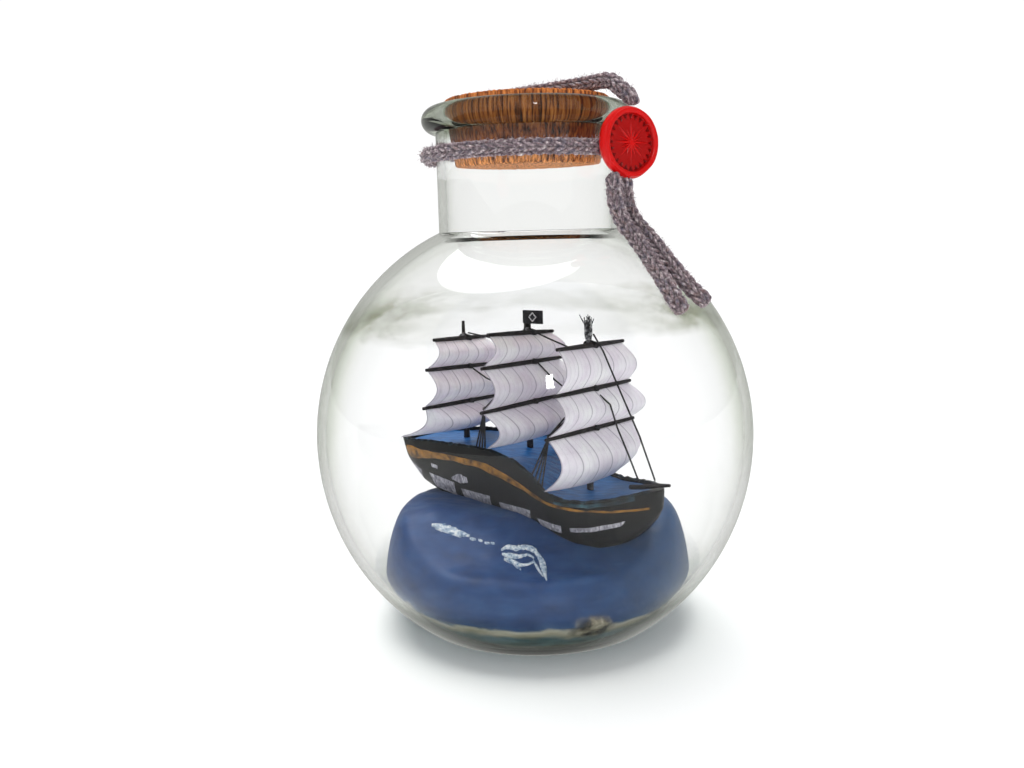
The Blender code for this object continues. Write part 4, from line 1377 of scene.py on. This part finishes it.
def masthead_tuft():
    """The frayed ends of thread that stand up round the fore masthead."""
    fray = Look("frayed_thread", Roughness=0.8)
    shade = fray.noise(0.9, 3.0)
    fray.paint(shade, (0.42, (0.015, 0.015, 0.018)), (0.55, (0.22, 0.22, 0.24)), (0.68, (0.75, 0.74, 0.76)))
    fray.bump(shade, 0.1, 0.5)
    draw = np.random.default_rng(5)
    strands = []
    for i in range(16):
        lean_s, lean_t = draw.normal(0, 1.1, 2)
        top = 104.6 + 2.6 * draw.random()
        low = 98.4 + 1.5 * draw.random()
        s = MASTS["fore"][0]
        points = [
            on_ship(s + 0.9 * cos(i), 0.9 * sin(i), low),
            on_ship(s + 1.1 * cos(i), 1.1 * sin(i), (low + top) / 2 - 0.4),
            on_ship(s + 1.1 * cos(i) + lean_s, 1.1 * sin(i) + lean_t, top),
        ]
        path = smooth_path(points, 0.4 * MM)
        strands.append(rod(path, np.linspace(0.32, 0.16, len(path)) * MM, 8))
    build("masthead_tuft", *joined(strands), fray.made, "bottle", "black_thread")


FLAG_CENTRE_LINE = 2.2
FLAG_LENGTH = 8.6
FLAG_LOW = 103.3
FLAG_HIGH = 107.9
FLAG_HALF_THICK = 0.2
FLAG_WAVE = 0.22
EMBLEM_STEPS = 36
EMBLEM_SIDES = 10
EMBLEM_STROKE_R = 0.20
EMBLEM_OFF = 0.24


def flag_place(share, height, off):
    """A place on the waving flag: its share along and height up it, 0 to 1, and mm off to starboard."""
    wave = FLAG_WAVE * sin(share * 2 * pi) * share
    z = FLAG_LOW + (FLAG_HIGH - FLAG_LOW) * height
    return on_ship(FLAG_LENGTH * share, FLAG_CENTRE_LINE + wave + off, z)


def flag():
    cloth = Look("black_flag_cloth", Roughness=0.75)
    weave = cloth.noise(2.2, 4.0, 0.7)
    cloth.paint(weave, (0.4, (0.004, 0.004, 0.007)), (0.7, (0.035, 0.033, 0.042)))
    cloth.bump(weave, 0.12, 0.6)
    pale = Look("pale_flag_emblem", Roughness=0.7)
    chalk = pale.noise(2.5, 3.0)
    pale.paint(chalk, (0.35, (0.30, 0.30, 0.33)), (0.6, (0.80, 0.79, 0.82)))
    pale.bump(chalk, 0.08, 0.5)
    rows, cols = 15, 31
    verts = [
        flag_place(i / (cols - 1), k / (rows - 1), off)
        for off in (FLAG_HALF_THICK, -FLAG_HALF_THICK) for k in range(rows) for i in range(cols)
    ]
    made = build("flag_cloth", verts, slab_faces(rows, cols), cloth.made, "bottle", "black_flag_cloth")
    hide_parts("flag")
    # A plain lozenge outline on each side of the flag
    steps = EMBLEM_STEPS
    turns = [2 * pi * i / steps for i in range(steps)]
    parts = []
    for side in (1, -1):
        shape = [(cos(a) * abs(cos(a)), sin(a) * abs(sin(a))) for a in turns]
        line = [tuple(flag_place(0.5 + 0.17 * u, 0.5 + 0.32 * v, side * EMBLEM_OFF)) for u, v in shape]
        line, _ = even(line, steps, closed=True)
        radii = np.full((steps, EMBLEM_SIDES), EMBLEM_STROKE_R * MM)
        faces = [tuple(f[::-1]) for f in grid_faces(steps, EMBLEM_SIDES, ring=True, loop=True)]
        parts.append((sleeve(line[:-1], radii, closed=True), faces))
    build("flag_emblem", *joined(parts), pale.made, "bottle", "black_flag_cloth")


lashings()
masthead_tuft()
flag()


# The studio: the light on the object, the white that is seen round and through it, and the
# dim room that its gloss mirrors

FLOOR_REACH = 6.0
AMBIENT = 0.60
BACKDROP = 1.04
ROOM = (0.035, 0.038, 0.033, 1.0)
FAR_WALL = (0.55, 0.56, 0.53, 1.0)
SUN = 2.35
SUN_SPREAD = 50.0
SUN_PLACE = (-0.12, 0.35, 1.0)
WINDOW_SIZE = (0.075, 0.14)
WINDOW_POWER = 2.0
WINDOW_PLACE = (0.18, -1.10, 0.80)


def studio():
    floor_look = Look("pale_floor", Roughness=0.55)
    floor_look.set("Base Color", (0.96, 0.96, 0.965))
    floor_look.set("Specular IOR Level", 0.15)
    data = bpy.data.meshes.new("floor")
    corners = [(x * FLOOR_REACH, y * FLOOR_REACH, 0) for x, y in ((-1, -1), (1, -1), (1, 1), (-1, 1))]
    data.from_pydata(corners, [], [(0, 1, 2, 3)])
    data.materials.append(floor_look.made)
    floor = bpy.data.objects.new("floor", data)
    floor.location.z = -0.05 * MM
    scene.collection.objects.link(floor)
    floor.visible_glossy = False
    world = bpy.data.worlds.new("studio")
    world.use_nodes = True
    tree = world.node_tree
    paths = tree.nodes.new("ShaderNodeLightPath")
    ambient, seen, mirrored = (tree.nodes.new("ShaderNodeBackground") for _ in range(3))
    ambient.inputs[0].default_value = (0.97, 0.98, 1.0, 1.0)
    ambient.inputs[1].default_value = AMBIENT
    seen.inputs[0].default_value = (1.0, 1.0, 1.0, 1.0)
    seen.inputs[1].default_value = BACKDROP
    way = tree.nodes.new("ShaderNodeSeparateXYZ")
    tree.links.new(tree.nodes.new("ShaderNodeTexCoord").outputs["Generated"], way.inputs[0])
    ahead = tree.nodes.new("ShaderNodeValToRGB")
    ahead.color_ramp.elements[0].color = ROOM
    ahead.color_ramp.elements[0].position = 0.30
    ahead.color_ramp.elements[1].color = FAR_WALL
    ahead.color_ramp.elements[1].position = 0.75
    tree.links.new(way.outputs["Y"], ahead.inputs[0])
    tree.links.new(ahead.outputs[0], mirrored.inputs[0])

    def worked_out(operation, a, b):
        sum_node = tree.nodes.new("ShaderNodeMath")
        sum_node.operation = operation
        tree.links.new(a, sum_node.inputs[0])
        if isinstance(b, float):
            sum_node.inputs[1].default_value = b
        else:
            tree.links.new(b, sum_node.inputs[1])
        return sum_node

    either = worked_out("MAXIMUM", paths.outputs["Is Camera Ray"], paths.outputs["Is Transmission Ray"])
    lit, all_round = (tree.nodes.new("ShaderNodeMixShader") for _ in range(2))
    tree.links.new(either.outputs[0], lit.inputs[0])
    tree.links.new(ambient.outputs[0], lit.inputs[1])
    tree.links.new(seen.outputs[0], lit.inputs[2])
    # a ray that was mirrored is one whose depth isn't all transmission and diffuse
    straight = worked_out("SUBTRACT", paths.outputs["Ray Depth"], paths.outputs["Transmission Depth"])
    glossy = worked_out("SUBTRACT", straight.outputs[0], paths.outputs["Diffuse Depth"])
    reflections = worked_out("SUBTRACT", glossy.outputs[0], 1.0)
    reflections.use_clamp = True
    tree.links.new(reflections.outputs[0], all_round.inputs[0])
    tree.links.new(lit.outputs[0], all_round.inputs[1])
    tree.links.new(mirrored.outputs[0], all_round.inputs[2])
    tree.links.new(all_round.outputs[0], tree.nodes["World Output"].inputs[0])
    scene.world = world
    sun = bpy.data.lights.new("sky_light", "SUN")
    sun.energy = SUN
    sun.angle = math.radians(SUN_SPREAD)
    panel = bpy.data.lights.new("window", "AREA")
    panel.shape = "RECTANGLE"
    panel.size, panel.size_y = WINDOW_SIZE
    panel.energy = WINDOW_POWER
    for data, place in ((sun, SUN_PLACE), (panel, WINDOW_PLACE)):
        lamp = bpy.data.objects.new(data.name, data)
        scene.collection.objects.link(lamp)
        lamp.location = place
        lamp.rotation_mode = "QUATERNION"
        lamp.rotation_quaternion = (Vector((0, 0, 0.08)) - Vector(place)).to_track_quat("-Z", "Y")
    bpy.data.objects["sky_light"].visible_glossy = False


studio()
